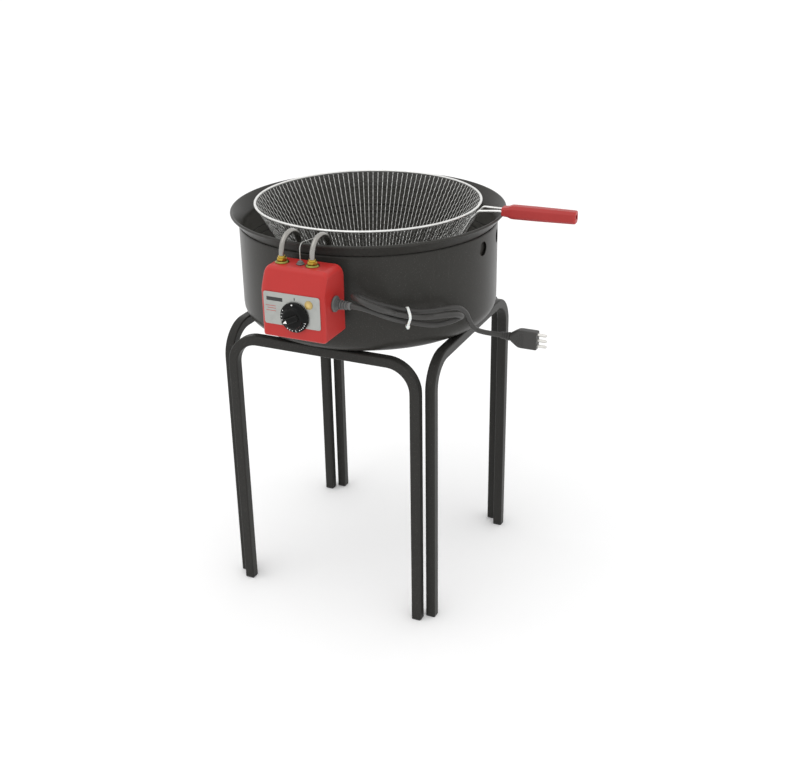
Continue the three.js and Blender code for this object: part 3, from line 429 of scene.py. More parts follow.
# ---- finishes -------------------------------------------------------------------------
class Wire:
    """A node's output. Sums on wires add Math nodes to the finish's tree."""

    def __init__(self, finish, socket):
        self.finish = finish
        self.socket = socket

    def _sum(self, operation, first, second):
        return self.finish.node("ShaderNodeMath", {"operation": operation}, {0: first, 1: second})

    def __add__(self, other):
        return self._sum("ADD", self, other)

    def __radd__(self, other):
        return self._sum("ADD", other, self)

    def __sub__(self, other):
        return self._sum("SUBTRACT", self, other)

    def __rsub__(self, other):
        return self._sum("SUBTRACT", other, self)

    def __mul__(self, other):
        return self._sum("MULTIPLY", self, other)

    def above(self, edge, softness):
        """0 below the edge and 1 above it, with a soft step between."""
        return self.finish.node(
            "ShaderNodeMapRange",
            {"interpolation_type": "SMOOTHSTEP"},
            {"Value": self, "From Min": edge - softness, "From Max": edge + softness},
        )


class Finish:
    """A material of one principled shader, with its colour and wear worked out by nodes."""

    def __init__(self, name, colour, roughness, metallic=0.0, **constants):
        self.material = bpy.data.materials.new(name)
        self.material.use_nodes = True
        self.tree = self.material.node_tree
        self.shader = self.tree.nodes["Principled BSDF"]
        self.set("Base Color", (*colour, 1))
        self.set("Roughness", roughness)
        self.set("Metallic", metallic)
        for socket, value in constants.items():
            self.set(socket.replace("_", " "), value)
        self.material.diffuse_color = (*colour, 1)

    def set(self, socket, value):
        """Sets a constant on the shader, or links a wire to it."""
        self._fill(self.shader.inputs[socket], value)

    def _fill(self, socket, value):
        if isinstance(value, Wire):
            self.tree.links.new(value.socket, socket)
        elif isinstance(value, tuple) and socket.type == "RGBA" and len(value) == 3:
            socket.default_value = (*value, 1)
        else:
            socket.default_value = value

    def node(self, kind, settings=None, inputs=None, output=0):
        """A new node: its settings first, then the values or wires of its sockets."""
        made = self.tree.nodes.new(kind)
        for name, value in (settings or {}).items():
            setattr(made, name, value)
        for socket, value in (inputs or {}).items():
            self._fill(made.inputs[socket], value)
        return Wire(self, made.outputs[output])

    def place(self, scale=(1, 1, 1), origin=(0, 0, 0)):
        """The piece's own coordinates in metres, scaled about an origin."""
        raw = self.node("ShaderNodeTexCoord", output=3)
        shifted = self.node(
            "ShaderNodeVectorMath", {"operation": "SUBTRACT"}, {0: raw, 1: tuple(origin)})
        return self.node("ShaderNodeMapping", {}, {"Vector": shifted, "Scale": scale})

    def noise(self, size, detail=3.0, roughness=0.55, place=None):
        """Noise with blotches of about the given size in millimetres, from 0 to 1."""
        return self.node(
            "ShaderNodeTexNoise", {},
            {"Vector": place or self.place(), "Scale": 1 / (size * MM), "Detail": detail,
             "Roughness": roughness})

    def specks(self, size):
        """Rounded cells of the given size in millimetres: the distance from the nearest middle."""
        return self.node(
            "ShaderNodeTexVoronoi", {}, {"Vector": self.place(), "Scale": 1 / (size * MM)})

    def blend(self, share, first, second):
        """The first colour where the share is 0 and the second where it is 1."""
        return self.node(
            "ShaderNodeMix", {"data_type": "RGBA"}, {0: share, 6: first, 7: second}, output=2)

    def edges(self, low, high):
        """1 on outward edges of a dense mesh and 0 on its flats."""
        lean = self.node("ShaderNodeNewGeometry", output=7)
        return self.node(
            "ShaderNodeMapRange", {"interpolation_type": "SMOOTHSTEP"},
            {"Value": lean, "From Min": low, "From Max": high})

    def look(self, colour, roughness, height, strength, depth):
        """The material with its colour, roughness and bumps: a height of 1 is depth millimetres."""
        self.set("Base Color", colour)
        self.set("Roughness", roughness)
        self.set("Normal", self.node(
            "ShaderNodeBump", {}, {"Height": height, "Strength": strength, "Distance": depth * MM}))
        return self.material


def shades(colour, *factors):
    """The colour made darker or lighter by each factor."""
    return [tuple(min(1.0, part * factor) for part in colour) for factor in factors]


def enamel(name, colour, roughness, height, painted_light_below=None):
    """Sprayed enamel: orange peel, faint clouds of shade, fine dust and marks that dull it.

    With a height given, the inside of the pan below it gets painted light, a paler colour standing
    in for light on its shaded inner wall, and shows the two level lines."""
    finish = Finish(name, colour, roughness, Specular_IOR_Level=0.13)
    clouds = finish.noise(90, 4)
    dust = finish.noise(1.1, 2).above(0.66, 0.05)
    scuffs = finish.noise(9, 5, 0.7, finish.place(scale=(1, 1, 0.12))).above(0.68, 0.06)
    dark, pale = shades(colour, 0.90, 1.10)
    body = finish.blend(clouds, dark, pale)
    dusty = finish.blend(dust * 0.16, body, (0.30, 0.29, 0.27))
    marked = finish.blend(scuffs * 0.22, dusty, shades(colour, 2.4)[0])
    # Painted light: below the given height the pan's inside is made paler, standing in for light on
    # the shaded inner wall.
    if painted_light_below:
        rise = finish.node("ShaderNodeSeparateXYZ", {}, {0: finish.place()}, output=2)
        flat = finish.place(scale=(1000, 1000, 0), origin=AXIS)
        reach = finish.node("ShaderNodeVectorMath", {"operation": "LENGTH"}, {0: flat}, output=1)
        inside = 1 - reach.above(PAN_RADIUS - PAN_WALL / 2, 0.3)
        painted_light_inside = inside * (1 - rise.above(painted_light_below * MM, 0.012))
        marked = finish.blend(painted_light_inside, marked, shades(colour, 2.2)[0])
        for line in LEVEL_LINES:
            band = rise.above((line - 0.9) * MM, 0.0004) - rise.above((line + 0.9) * MM, 0.0004)
            marked = finish.blend(band * 0.85, marked, shades(colour, 0.3)[0])
    worn = roughness - 0.06 + clouds * 0.12 + scuffs * 0.14 + dust * 0.1
    peel = finish.noise(2.4, 2) * 0.7 + finish.noise(0.7, 2) * 0.3
    return finish.look(marked, worn, peel + scuffs * 0.25, 0.22, height)


def moulded(name, colour, roughness, grain=0.7, depth=0.05, edge_highlight_gain=1.25, **constants):
    """Moulded plastic: a fine spark-eroded grain, a slow random drift of tone and a painted
    highlight on the edges, broken up by noise.
    """
    finish = Finish(name, colour, roughness, **constants)
    drift = finish.noise(45, 3)
    # Painted highlight: outward edges (pointiness) are made paler in colour, broken up by noise,
    # standing in for light caught on the edges.
    edge_highlight = finish.edges(0.507, 0.55) * finish.noise(6, 4).above(0.42, 0.2)
    dark, pale, highlight_colour = shades(colour, 0.92, 1.07, edge_highlight_gain)
    return finish.look(
        finish.blend(edge_highlight * 0.6, finish.blend(drift, dark, pale), highlight_colour),
        roughness - 0.05 + finish.noise(14, 5, 0.65) * 0.12 + edge_highlight * 0.08,
        finish.noise(grain, 3) + finish.noise(grain * 4, 2) * 0.4, 0.3, depth)


def drawn_metal(name, colour, roughness, stretch, tint=None, **constants):
    """Drawn or brushed metal: hair lines stretched along one axis, with a slow tarnish."""
    finish = Finish(name, colour, roughness, 1.0, **constants)
    lines = finish.noise(0.5, 4, 0.7, finish.place(scale=stretch))
    tarnish = finish.noise(12, 4, 0.6)
    dark, pale = shades(colour, 0.82, 1.12)
    body = finish.blend(lines, dark, pale)
    return finish.look(
        finish.blend(tarnish.above(0.56, 0.14) * 0.5, body, tint or dark),
        roughness - 0.08 + lines * 0.16 + tarnish * 0.08, lines, 0.2, 0.04)


def bright_wire(name, colour, roughness):
    """Plated wire: bright, with tiny die lines and small dull spots where fat has dried."""
    finish = Finish(name, colour, roughness, 0.85)
    spots = finish.noise(3.5, 4, 0.6).above(0.6, 0.08)
    dark, pale = shades(colour, 0.8, 1.08)
    body = finish.blend(finish.noise(18, 3), dark, pale)
    return finish.look(
        finish.blend(spots * 0.4, body, shades(colour, 0.62)[0]),
        roughness + spots * 0.25 + finish.noise(1.2, 2) * 0.06, finish.noise(0.6, 2), 0.15, 0.03)


def sheath(name, colour, roughness):
    """Flexible sheath: matt, with a talc bloom, faint crosswise stretch marks and small pits."""
    finish = Finish(name, colour, roughness, Specular_IOR_Level=0.4)
    bloom = finish.noise(22, 5, 0.65)
    pits = 1 - finish.specks(1.6).above(0.16, 0.1)
    dark, pale = shades(colour, 0.85, 1.25)
    return finish.look(finish.blend(bloom, dark, pale), roughness - 0.06 + bloom * 0.14,
                       finish.noise(0.9, 3) - pits * 0.35, 0.3, 0.08)


def lens(name, colour):
    """A clear amber lens with a paler heart and faint flow lines from the mould."""
    finish = Finish(name, colour, 0.16, Coat_Weight=0.6, Coat_Roughness=0.06, IOR=1.49)
    heart = middle("pilot_lamp")
    spot = finish.place(scale=(1000, 0, 1000), origin=np.array(AXIS) + heart * MM)
    reach = finish.node("ShaderNodeVectorMath", {"operation": "LENGTH"}, {0: spot}, output=1)
    glow = 1 - reach.above(3.2, 2.6)
    dark, pale = shades(colour, 0.8, 1.5)
    cloudy = finish.blend(finish.noise(2.5, 3), dark, colour)
    return finish.look(finish.blend(glow * 0.8, cloudy, pale), 0.12 + finish.noise(1.5, 3) * 0.1,
                       finish.noise(0.8, 2), 0.15, 0.05)


def ink(name, colour):
    """Screen printing ink: slightly mottled and dull."""
    finish = Finish(name, colour, 0.5)
    mottle = finish.noise(0.8, 3)
    dark, pale = shades(colour, 0.85, 1.12)
    return finish.look(finish.blend(mottle, dark, pale), 0.42 + mottle * 0.15, mottle, 0.15, 0.02)


# ---- light, floor and camera ----------------------------------------------------------
def set_camera():
    """A camera to the front right and above, looking down at the kettle."""
    azimuth, elevation, roll = math.radians(24.823), math.radians(24.741), math.radians(-0.866)
    camera = bpy.data.objects.new("camera", bpy.data.cameras.new("camera"))
    bpy.context.scene.collection.objects.link(camera)
    camera.data.lens = 52.92
    camera.data.sensor_width = 36
    camera.data.clip_start = 0.05
    camera.data.clip_end = 60
    turn = (Matrix.Rotation(azimuth, 4, "Z") @ Matrix.Rotation(math.pi / 2 - elevation, 4, "X")
            @ Matrix.Rotation(roll, 4, "Z"))
    camera.matrix_world = Matrix.Translation(AXIS + Vector((0.81137, -1.64444, 1.14989))) @ turn
    bpy.context.scene.camera = camera


def set_stage():
    """A pale floor, an even white surround and two large soft lights."""
    scene = bpy.context.scene
    scene.view_settings.view_transform = "Standard"
    scene.view_settings.look = "None"
    world = bpy.data.worlds.new("studio")
    world.use_nodes = True
    world.node_tree.nodes["Background"].inputs["Color"].default_value = (1, 1, 1, 1)
    world.node_tree.nodes["Background"].inputs["Strength"].default_value = 1.1
    scene.world = world

    bpy.ops.mesh.primitive_plane_add(size=24, location=(AXIS.x, AXIS.y, 0))
    floor = bpy.context.object
    floor.name = "floor"
    paper = Finish("floor paper", (0.97, 0.97, 0.97), 0.9, Specular_IOR_Level=0.05)
    paper.set("Base Color", paper.blend(paper.noise(900, 2), (0.965,) * 3, (0.975,) * 3))
    floor.data.materials.append(paper.material)

    for name, place, size, power in (
        ("overhead", (-0.4, -0.9, 2.6), 2.2, 8),
        ("front left", (-2.2, -2.4, 1.5), 1.6, 1.5),
    ):
        lamp = bpy.data.lights.new(name, "AREA")
        lamp.shape = "DISK"
        lamp.size = size
        lamp.energy = power
        holder = bpy.data.objects.new(name, lamp)
        bpy.context.scene.collection.objects.link(holder)
        holder.location = AXIS + Vector(place)
        aim = AXIS + Vector((0, 0, 0.5)) - holder.location
        holder.rotation_mode = "QUATERNION"
        holder.rotation_quaternion = aim.to_track_quat("-Z", "Y")


# ---- kettle ---------------------------------------------------------------------------
def vented_wall():
    """The casing's outside: its profile turned about the axis.

    Each vent's square of the grid is left out and filled by rings that pass from the square to a
    circle: place = square + share * (circle - square), measured round the wall and up it."""
    columns, reach, cell = 288, 4, 4.0
    sides = 2 * reach
    step = 2 * math.pi / columns
    width = CASING_RADIUS * step
    angles = math.radians(FIRST_VENT) + step * np.arange(columns)
    turn = np.linspace(0, math.pi / 2, 9)
    foot = CASING_RADIUS - CASING_CORNER
    radii = np.concatenate([(30, 70, 120, 155), foot + CASING_CORNER * np.sin(turn)])
    heights = CASING_BASE + np.concatenate([np.zeros(4), CASING_CORNER * (1 - np.cos(turn))])
    near_vents = VENT_HEIGHT + cell * np.arange(-reach, reach + 1)
    rises = np.concatenate([(502, 518, 534, 550, 564), near_vents, (613, CASING_TOP)])
    radii = np.concatenate([radii, np.full(len(rises), CASING_RADIUS)])[:, None]
    heights = np.concatenate([heights, rises])[:, None]
    vent_row = len(heights) - 7
    points = polar(radii, angles, heights)
    index = np.arange(points.shape[0] * columns).reshape(-1, columns)
    after = np.roll(index, -1, axis=1)
    quads = np.stack([index[:-1], after[:-1], after[1:], index[1:]], axis=-1)
    kept = np.ones(quads.shape[:2], bool)
    side = np.arange(-reach, reach)
    across = np.concatenate([side, np.full(sides, reach), -side, np.full(sides, -reach)])
    up = np.roll(across, sides)
    square = np.stack([across * width, up * cell], axis=1)
    circle = polar(VENT_RADIUS, math.radians(225) + full_turn(VENT_POINTS), 0)[:, :2]
    vertices, faces = [points.reshape(-1, 3)], []
    count = index.size
    for column in (0, 16, 144, 160):
        kept[np.ix_(vent_row + side, (column + side) % columns)] = False
        ring = index[vent_row + up, (column + across) % columns]
        for share, sink in ((0.3, 0), (0.6, 0), (0.85, 0), (0.97, 0), (1.0, 0.35), (1.01, 0.9)):
            place = square + share * (circle - square)
            a = angles[column] + place[:, 0] / CASING_RADIUS
            vertices.append(polar(CASING_RADIUS - sink, a, VENT_HEIGHT + place[:, 1]))
            inner = count + np.arange(VENT_POINTS)
            count += VENT_POINTS
            faces.append(np.stack([ring, np.roll(ring, -1), np.roll(inner, -1), inner], axis=-1))
            ring = inner
    vertices.append(np.array([(0, 0, CASING_BASE)]))
    fan = np.stack([after[0], index[0], np.full(columns, count)], axis=1)
    return np.vstack(vertices), np.vstack([quads[kept], *faces]), fan


def pan_profile():
    """Half of the pan's section: underside, outer wall, flare, rolled lip, then down inside."""
    wall, thin = PAN_RADIUS, PAN_RADIUS - PAN_WALL
    bead = np.array((LIP_RADIUS - LIP_BEAD, LIP_TOP - LIP_BEAD))
    turn = np.radians(np.linspace(-60, 120, 15))
    roll = bead + LIP_BEAD * np.stack([np.cos(turn), np.sin(turn)], axis=1)
    outside = filleted(
        [(0, PAN_LOW[2]), (wall, PAN_LOW[2]), (wall, 612.8), roll[0]], (0, 28, 9, 0), 9)
    inside = filleted([roll[-1], (thin, 614), (thin, LEVEL_LINES[1] + 2)], (0, 8, 0), 8)
    grooves = [(thin + sink, line + rise) for line in LEVEL_LINES[::-1]
               for sink, rise in ((0, 0.8), (0.55, 0.3), (0.55, -0.3), (0, -0.8))]
    floor = PAN_LOW[2] + PAN_WALL
    bottom = filleted([(thin, LEVEL_LINES[0] - 2), (thin, floor), (0, floor)], (0, 26.8, 0), 9)
    return np.vstack([outside[:-1], roll, inside[1:], grooves, bottom])


def make_kettle(paint, pan_paint, tube_paint, foot_plastic, steel):
    """The casing, the pan and the four arches of the stand with their rivets and tube plugs."""
    casing = piece("casing_shell", [vented_wall()], "kettle", "kettle_enamel", paint, ["casing"])
    wall = casing.modifiers.new("sheet", "SOLIDIFY")
    wall.thickness = CASING_WALL * MM
    wall.offset = -1
    piece("oil_pan_bowl", [turned(pan_profile(), 288)], "kettle", "kettle_enamel", pan_paint,
          ["oil_pan"])

    arch = filleted([(x * LEG_OFFSET, -FRAME_OFFSET, z) for x, z in (
        (-1, TUBE_BASE), (-1, FRAME_TOP), (1, FRAME_TOP), (1, TUBE_BASE))], FRAME_BEND, 16)
    tube = swept(spaced(arch, 9), round_box_line(LEG_SIDE, LEG_SIDE, LEG_EDGE, 4), (0, 1, 0))
    rivet = turned([(0, 441.4), (3.1, 441.6), (4.6, 442.4), (5, 443.6), (2.4, 443.7), (2.4, 461.6),
                    (5, 461.6), (5, 462.3), (4.2, 463.3), (2.5, 463.8), (0, 463.8)], 28)
    rivet = moved(rivet, shift=(0, -172.5, 0))
    foot = gathered([moved(soft_block(LEG_SIDE, LEG_SIDE, 3, 0.9, LEG_EDGE), shift=(0, 0, 1.5)),
                     moved(soft_block(11.6, 11.6, 16.4, 0.6), shift=(0, 0, 10.8))])
    for side, degrees in (("front", 0), ("right", 90), ("back", 180), ("left", 270)):
        turn = about_z(degrees)
        piece(f"stand_tube_{side}", [moved(tube, turn)], "kettle", "stand_paint", tube_paint,
              [f"stand_frame_{side}"], weighted=True)
        piece(f"rivet_{side}", [moved(rivet, turn)], "kettle", "satin_steel", steel,
              [f"stand_rivet_{side}"])
        for node in (f"foot_{side}_a", f"foot_{side}_b"):
            at = middle(node) * (1, 1, 0)
            piece(f"tube_{node}", [moved(foot, shift=at)], "kettle", "foot_plastic", foot_plastic,
                  [node])


# ---- control box ----------------------------------------------------------------------
def box_shell():
    """The red cover: rounded rectangles from its front face to its back, then forward again inside.

    Each outline's sides lie inset from the box by edge * (1 - sin a) at a depth edge * (1 - cos a),
    and its top follows a rounded line that climbs the sloping front edge and drops at the back."""
    depth, width, height = BOX_HIGH[1] - BOX_LOW[1], BOX_HIGH[0] - BOX_LOW[0], BOX_HIGH[2]
    centre = (BOX_HIGH[0] + BOX_LOW[0]) / 2
    edge, wall = 6.0, 2.5
    top_line = filleted(
        [(0, 570), (0, height - 32), (15, height), (depth, height), (depth, height - 15)],
        (0, 10, 9, 9, 0), 8)[1:-1]
    turn = np.linspace(0, math.pi / 2, 8)
    rounding = (edge * (1 - np.cos(turn)), edge * (1 - np.sin(turn)))

    def outline(along, thick):
        inset = np.interp(along - thick, *rounding) + thick
        top = np.interp(along - thick * 0.4, *top_line.T) - thick
        low = BOX_LOW[2] + inset * 0.7
        upper, lower = max(9.5 - inset, 2.0), max(4.2 - inset * 0.5, 1.0)
        half = width / 2 - inset
        line = filleted([(-half, low), (half, low), (half, top), (-half, top)],
                        (lower, lower, upper, upper), 6, closed=True)
        line[:, 0] += centre
        return level(line, BOX_LOW[1] + along)[:, [0, 2, 1]]

    face = outline(0, 0)
    heart = face.mean(0)
    shrunk = [heart + (face - heart) * share for share in (0.45, 0.9)]
    outer = np.unique(np.concatenate([rounding[0], np.linspace(edge, 12, 4), top_line[:, 0],
                                      np.linspace(22, depth - 10, 8)]).round(3))
    inner = (depth, 56, 44, 30, 20, 14, 9, 6, 4, wall)
    return grid(shrunk + [outline(d, 0) for d in outer] + [outline(d, wall) for d in inner])


def knob_shells():
    """A skirted knob with a bevelled finger bar, made standing up and pointing along +X."""
    skirt = turned([(0, 0), (21.6, 0), (22.3, 0.4), (22.5, 1.0), (22.4, 2.2), (21.7, 3.3),
                    (20.6, 3.9), (17.0, 4.7), (16.2, 5.3), (15.7, 6.2), (15.2, 8.2), (14.6, 9.3),
                    (13.2, 10.0), (11, 10.3), (0, 10.5)], 120)
    rows = []
    for height, length, half in ((8.5, 15.6, 5.6), (10.6, 15.2, 5.2), (14.2, 14.6, 4.4),
                                 (15.2, 14.0, 3.9), (15.6, 13.2, 3.3), (15.75, 12.2, 2.5)):
        tail, tip, sharp, blunt = -length * 0.82, half * 0.45, half * 0.3, half * 0.7
        line = filleted(
            [(tail, -half), (length - 5, -half), (length, -tip), (length, tip), (length - 5, half),
             (tail, half)], (blunt, 2, sharp, sharp, 2, blunt), 4, closed=True)
        rows.append(level(line, height))
    return [skirt, grid(rows)]


def make_box(red, label, steel, grey, knob_plastic, white, amber, dark_ink, red_ink):
    """The control box with its label, pilot lamp and knob, and what it holds inside."""
    on_unit("box_cover_shell", box_shell(), "red_plastic", red, "box_cover", crease=50,
            weighted=True)
    low, high = span("label_plate")
    width, thickness, height = high - low
    plate = soft_block(width, height, thickness, 0.3, 3.5)
    on_unit("label_sheet", moved(plate, OUT_FRONT, middle("label_plate")), "label_metal", label,
            "label_plate")
    front = low[1] - 0.05              # the ink's middle, just off the plate

    for name, material, blocks in (
        ("label_bar", dark_ink, ((-12, 571.5, 26, 5.6), (20.5, 575.5, 1.4, 4))),
        ("label_lines", red_ink, ((-18.5, 561, 17, 0.9), (-17, 557.5, 14, 0.9),
                                  (-18.5, 553.5, 16, 0.9), (21.5, 537.5, 26, 0.9))),
    ):
        printed = [moved(soft_block(width, height, 0.16, 0.04, 0.3, 2), OUT_FRONT, (x, front, z))
                   for x, z, width, height in blocks]
        on_unit(name, gathered(printed), "label_metal", material)

    lamp = middle("pilot_lamp")
    dome = turned([(0, 0), (5.2, 0), (5.2, 11.3), (6.2, 11.4), (6.5, 11.7), (6.5, 12.2),
                   (6.3, 12.6), (5.5, 12.75), (5.2, 12.8), (4.6, 13.3), (3.4, 13.65),
                   (1.8, 13.85), (0, 13.9)], 48)
    on_unit("pilot_lens", moved(dome, OUT_FRONT, (lamp[0], span("pilot_lamp")[1][1], lamp[2])),
            "amber_lens", amber, "pilot_lamp")

    seat = middle("knob")
    seat[1] = span("knob")[1][1]
    skirt, bar = knob_shells()
    turn = OUT_FRONT @ about_z(POINTER_ANGLE)
    piece("knob_body", [moved(skirt, OUT_FRONT, seat), moved(bar, turn, seat)], "knob",
          "knob_plastic", knob_plastic, ["knob"], crease=32)
    marks = []
    for text, degrees in (("1", 165), ("2", -16), ("3", -80)):
        place = polar(18.9, math.radians(degrees), 4.25)
        marks.append(moved(numeral(text, 4.4, 0.5), about_z(degrees - 90), place))
    dot = turned([(0, 0), (0.75, 0), (0.75, 0.4), (0.6, 0.5), (0, 0.52)], 16)
    for degrees in (95, -28, -39, -50, -61, -98, -110, -122, 150, 180, 195):
        size = 1.6 if degrees == 95 else 1.0
        marks.append(moved(dot, np.diag((size, size, 1)), polar(19.4, math.radians(degrees), 3.95)))
    piece("knob_figures", [moved(gathered(marks), OUT_FRONT, seat)], "knob", "white_plastic", white)
    for node, material in (("knob_pointer", white), ("thermostat_shaft", steel),
                           ("thermostat_body", grey), ("terminal_block", white),
                           ("box_back_plate", grey)):
        dressed(node, material)


# ---- heating element ------------------------------------------------------------------
def nut_shell():
    """A hexagon nut with a collar: each row's radius is the smaller of the hexagon's,
    flat / cos(angle from the flat's middle), and the chamfer's circle at that height."""
    angle = full_turn(96)
    sector = math.pi / 3
    from_flat = (angle + sector / 2) % sector - sector / 2
    return grid([polar(np.minimum(flat / np.cos(from_flat), circle), angle, height)
                 for height, flat, circle in (
                     (0, 6.5, 7.1), (0.15, 6.85, 7.4), (0.9, 6.9, 8), (3.1, 6.9, 8),
                     (3.9, 6.9, 7.3), (4.1, 6.4, 6.6), (4.15, 5.5, 5.5), (6.5, 5.4, 5.4),
                     (6.9, 5.2, 5.2), (7, 4.7, 4.7))])


def make_heater(heater, sleeve, brass, flange, steel, grey):
    """The element with its fittings and sleeves, and the sensor with its thin tube."""
    top, loop = HEATER_HIGH[2] - HEATER_RADIUS, HEATER_LOW[2] + HEATER_RADIUS
    near = HEATER_DROP_Y + HEATER_RUN
    risers = [middle("element_nut_left")[0], middle("element_nut_right")[0]]
    left, right = sum(risers) / 2 - HEATER_LOOP_HALF, sum(risers) / 2 + HEATER_LOOP_HALF

    def down(x):
        return [(x, HEATER_RISER_Y, BOX_HIGH[2] - 24.5), (x, HEATER_RISER_Y, top),
                (x, HEATER_DROP_Y - 16, top), (x, HEATER_DROP_Y, top - 61),
                (x, HEATER_DROP_Y, loop), (x, near, loop)]

    corners = (down(risers[0]) + [(left, near, loop), (left, HEATER_LOOP_HALF, loop),
                                  (right, HEATER_LOOP_HALF, loop), (right, near, loop)]
               + down(risers[1])[::-1])
    rod_line = spaced(filleted(corners, HEATER_BEND, 14), 12)
    on_unit("heater_tube", rod(rod_line, HEATER_RADIUS, sides=28), "heater_steel", heater,
            "heating_element")

    def seated(name, profile, segments, x, y, slot, material, node):
        shell = moved(turned(profile, segments), shift=(x, y, span(node)[0][2]))
        on_unit(name, shell, slot, material, node)

    def tall(node):
        low, high = span(node)
        return high[2] - low[2]

    for side, x in zip(("left", "right"), risers):
        end = tall(f"element_sleeve_{side}")
        # The black of these sleeves is painted shade: a dark part put round each drop where there
        # is shade beside it.
        seated(f"sleeve_{side}", [
            (0, 0), (4.4, 0), (5.6, 0.3), (6.2, 1.2), (6.2, 6), (5.95, 7.5), (5.95, end - 7.5),
            (6.2, end - 6), (6.2, end - 1.2), (5.6, end - 0.3), (4.4, end), (0, end)],
            40, x, HEATER_DROP_Y, "black_sleeve", sleeve, f"element_sleeve_{side}")
        seated(f"washer_{side}", [
            (0, 0), (10.3, 0), (10.5, 0.3), (10.4, 0.7), (9.2, 2.0), (8.6, 2.35), (7.5, 2.4),
            (0, 2.4)], 48, x, HEATER_RISER_Y, "brass_fitting", flange, f"element_washer_{side}")
        node = f"element_nut_{side}"
        nut = moved(nut_shell(), about_z(30), (x, HEATER_RISER_Y, span(node)[0][2]))
        on_unit(f"nut_{side}", nut, "brass_fitting", brass, node, crease=25)
        for place in ("front", "back"):
            dressed(f"element_foot_{side}_{place}", steel)

    x = middle("capillary_tube")[0]
    thread = filleted([(x, HEATER_RISER_Y, BOX_HIGH[2] - 12.5), (x, HEATER_RISER_Y, top - 6),
                       (x, SENSOR_Y, top - 14), (x, SENSOR_Y, span("thermostat_bulb")[1][2] - 1)],
                      9, 10)
    on_unit("capillary", rod(spaced(thread, 8), 0.8, sides=12), "satin_steel", steel,
            "capillary_tube")
    end = tall("thermostat_bulb")
    seated("bulb_capsule", [
        (0, 0), (1.6, 0.2), (2.9, 0.9), (3.7, 2.1), (4, 3.8), (4, end - 7), (3.6, end - 4.6),
        (2.2, end - 3), (1.7, end - 1), (1.3, end), (0, end)],
        32, x, SENSOR_Y, "satin_steel", steel, "thermostat_bulb")
    seated("grommet", [
        (0, 0), (5.8, 0), (6, 0.4), (5.9, 1.2), (5.1, 1.9), (4.3, 2.3), (4.1, 3.9), (3.6, 4.7),
        (2.4, 5), (0, 5)], 36, x, HEATER_RISER_Y, "grey_plastic", grey, "capillary_gland")


# ---- basket ---------------------------------------------------------------------------
def wall_radius(height):
    """The basket wall's middle radius at a height."""
    return RING_RADIUS - BASKET_TAPER * (RING_HEIGHT - height)


def warp_shell():
    """The wires down the wall: each is a thin tube along the slope, bent in and out by
    crimp * cos(pi * s / pitch + pi * i), where s is the way down and i counts the wires."""
    slope = math.hypot(1, BASKET_TAPER)
    down = np.arange(0, (RING_HEIGHT - BASKET_BASE - WARP_RADIUS) * slope, WEFT_PITCH / 3)
    down = down[:, None, None]
    wires = np.arange(WARP_WIRES)[None, :, None]
    around = full_turn(5)
    bend = CRIMP * np.cos(math.pi * (down / WEFT_PITCH + wires)) + WARP_RADIUS * np.cos(around)
    angle = 2 * math.pi * wires / WARP_WIRES
    height = RING_HEIGHT - down / slope - bend * BASKET_TAPER / slope
    reach = wall_radius(RING_HEIGHT - down / slope) + bend / slope
    angle = angle + WARP_RADIUS * np.sin(around) / reach
    points = polar(reach, angle, height)
    return gathered([grid(points[:, i]) for i in range(WARP_WIRES)])


def weft_shell():
    """The hoops of the weave: circles of thin wire, bent the other way where each wall wire
    crosses, by -crimp * cos(pi * k + half the wire count * angle) for hoop k."""
    slope = math.hypot(1, BASKET_TAPER)
    hoops = []
    angle = full_turn(WARP_WIRES * 3)[:, None]
    around = full_turn(4)
    for k in range(1, int((RING_HEIGHT - BASKET_BASE) * slope / WEFT_PITCH)):
        height = RING_HEIGHT - k * WEFT_PITCH / slope
        bend = -CRIMP * np.cos(math.pi * k + WARP_WIRES / 2 * angle)
        reach = wall_radius(height) + bend / slope + WEFT_RADIUS * np.cos(around)
        rise = height - bend * BASKET_TAPER / slope + WEFT_RADIUS * np.sin(around)
        hoops.append(grid(polar(reach, angle, rise), looped=True))
    return gathered(hoops)


def base_shell():
    """The flat woven base: straight wires both ways, bent up and down along their length by
    crimp * cos(pi * x / pitch), the other way for every second wire, and cut to a circle."""
    radius = wall_radius(BASKET_BASE) - 0.5
    count = int(radius / BASE_PITCH)
    shells = []
    for cross in (0, 90):
        for i in range(-count, count + 1):
            half = math.sqrt(radius ** 2 - (i * BASE_PITCH) ** 2)
            x = np.linspace(-half, half, max(4, int(half / BASE_PITCH * 5)))
            lift = CRIMP * np.cos(math.pi * (x / BASE_PITCH + i + cross / 90))
            line = np.column_stack([x, np.full(len(x), i * BASE_PITCH), BASKET_BASE + 1.3 + lift])
            shells.append(moved(rod(line, 0.5, (0, 1, 0), sides=5), about_z(cross)))
    return gathered(shells)


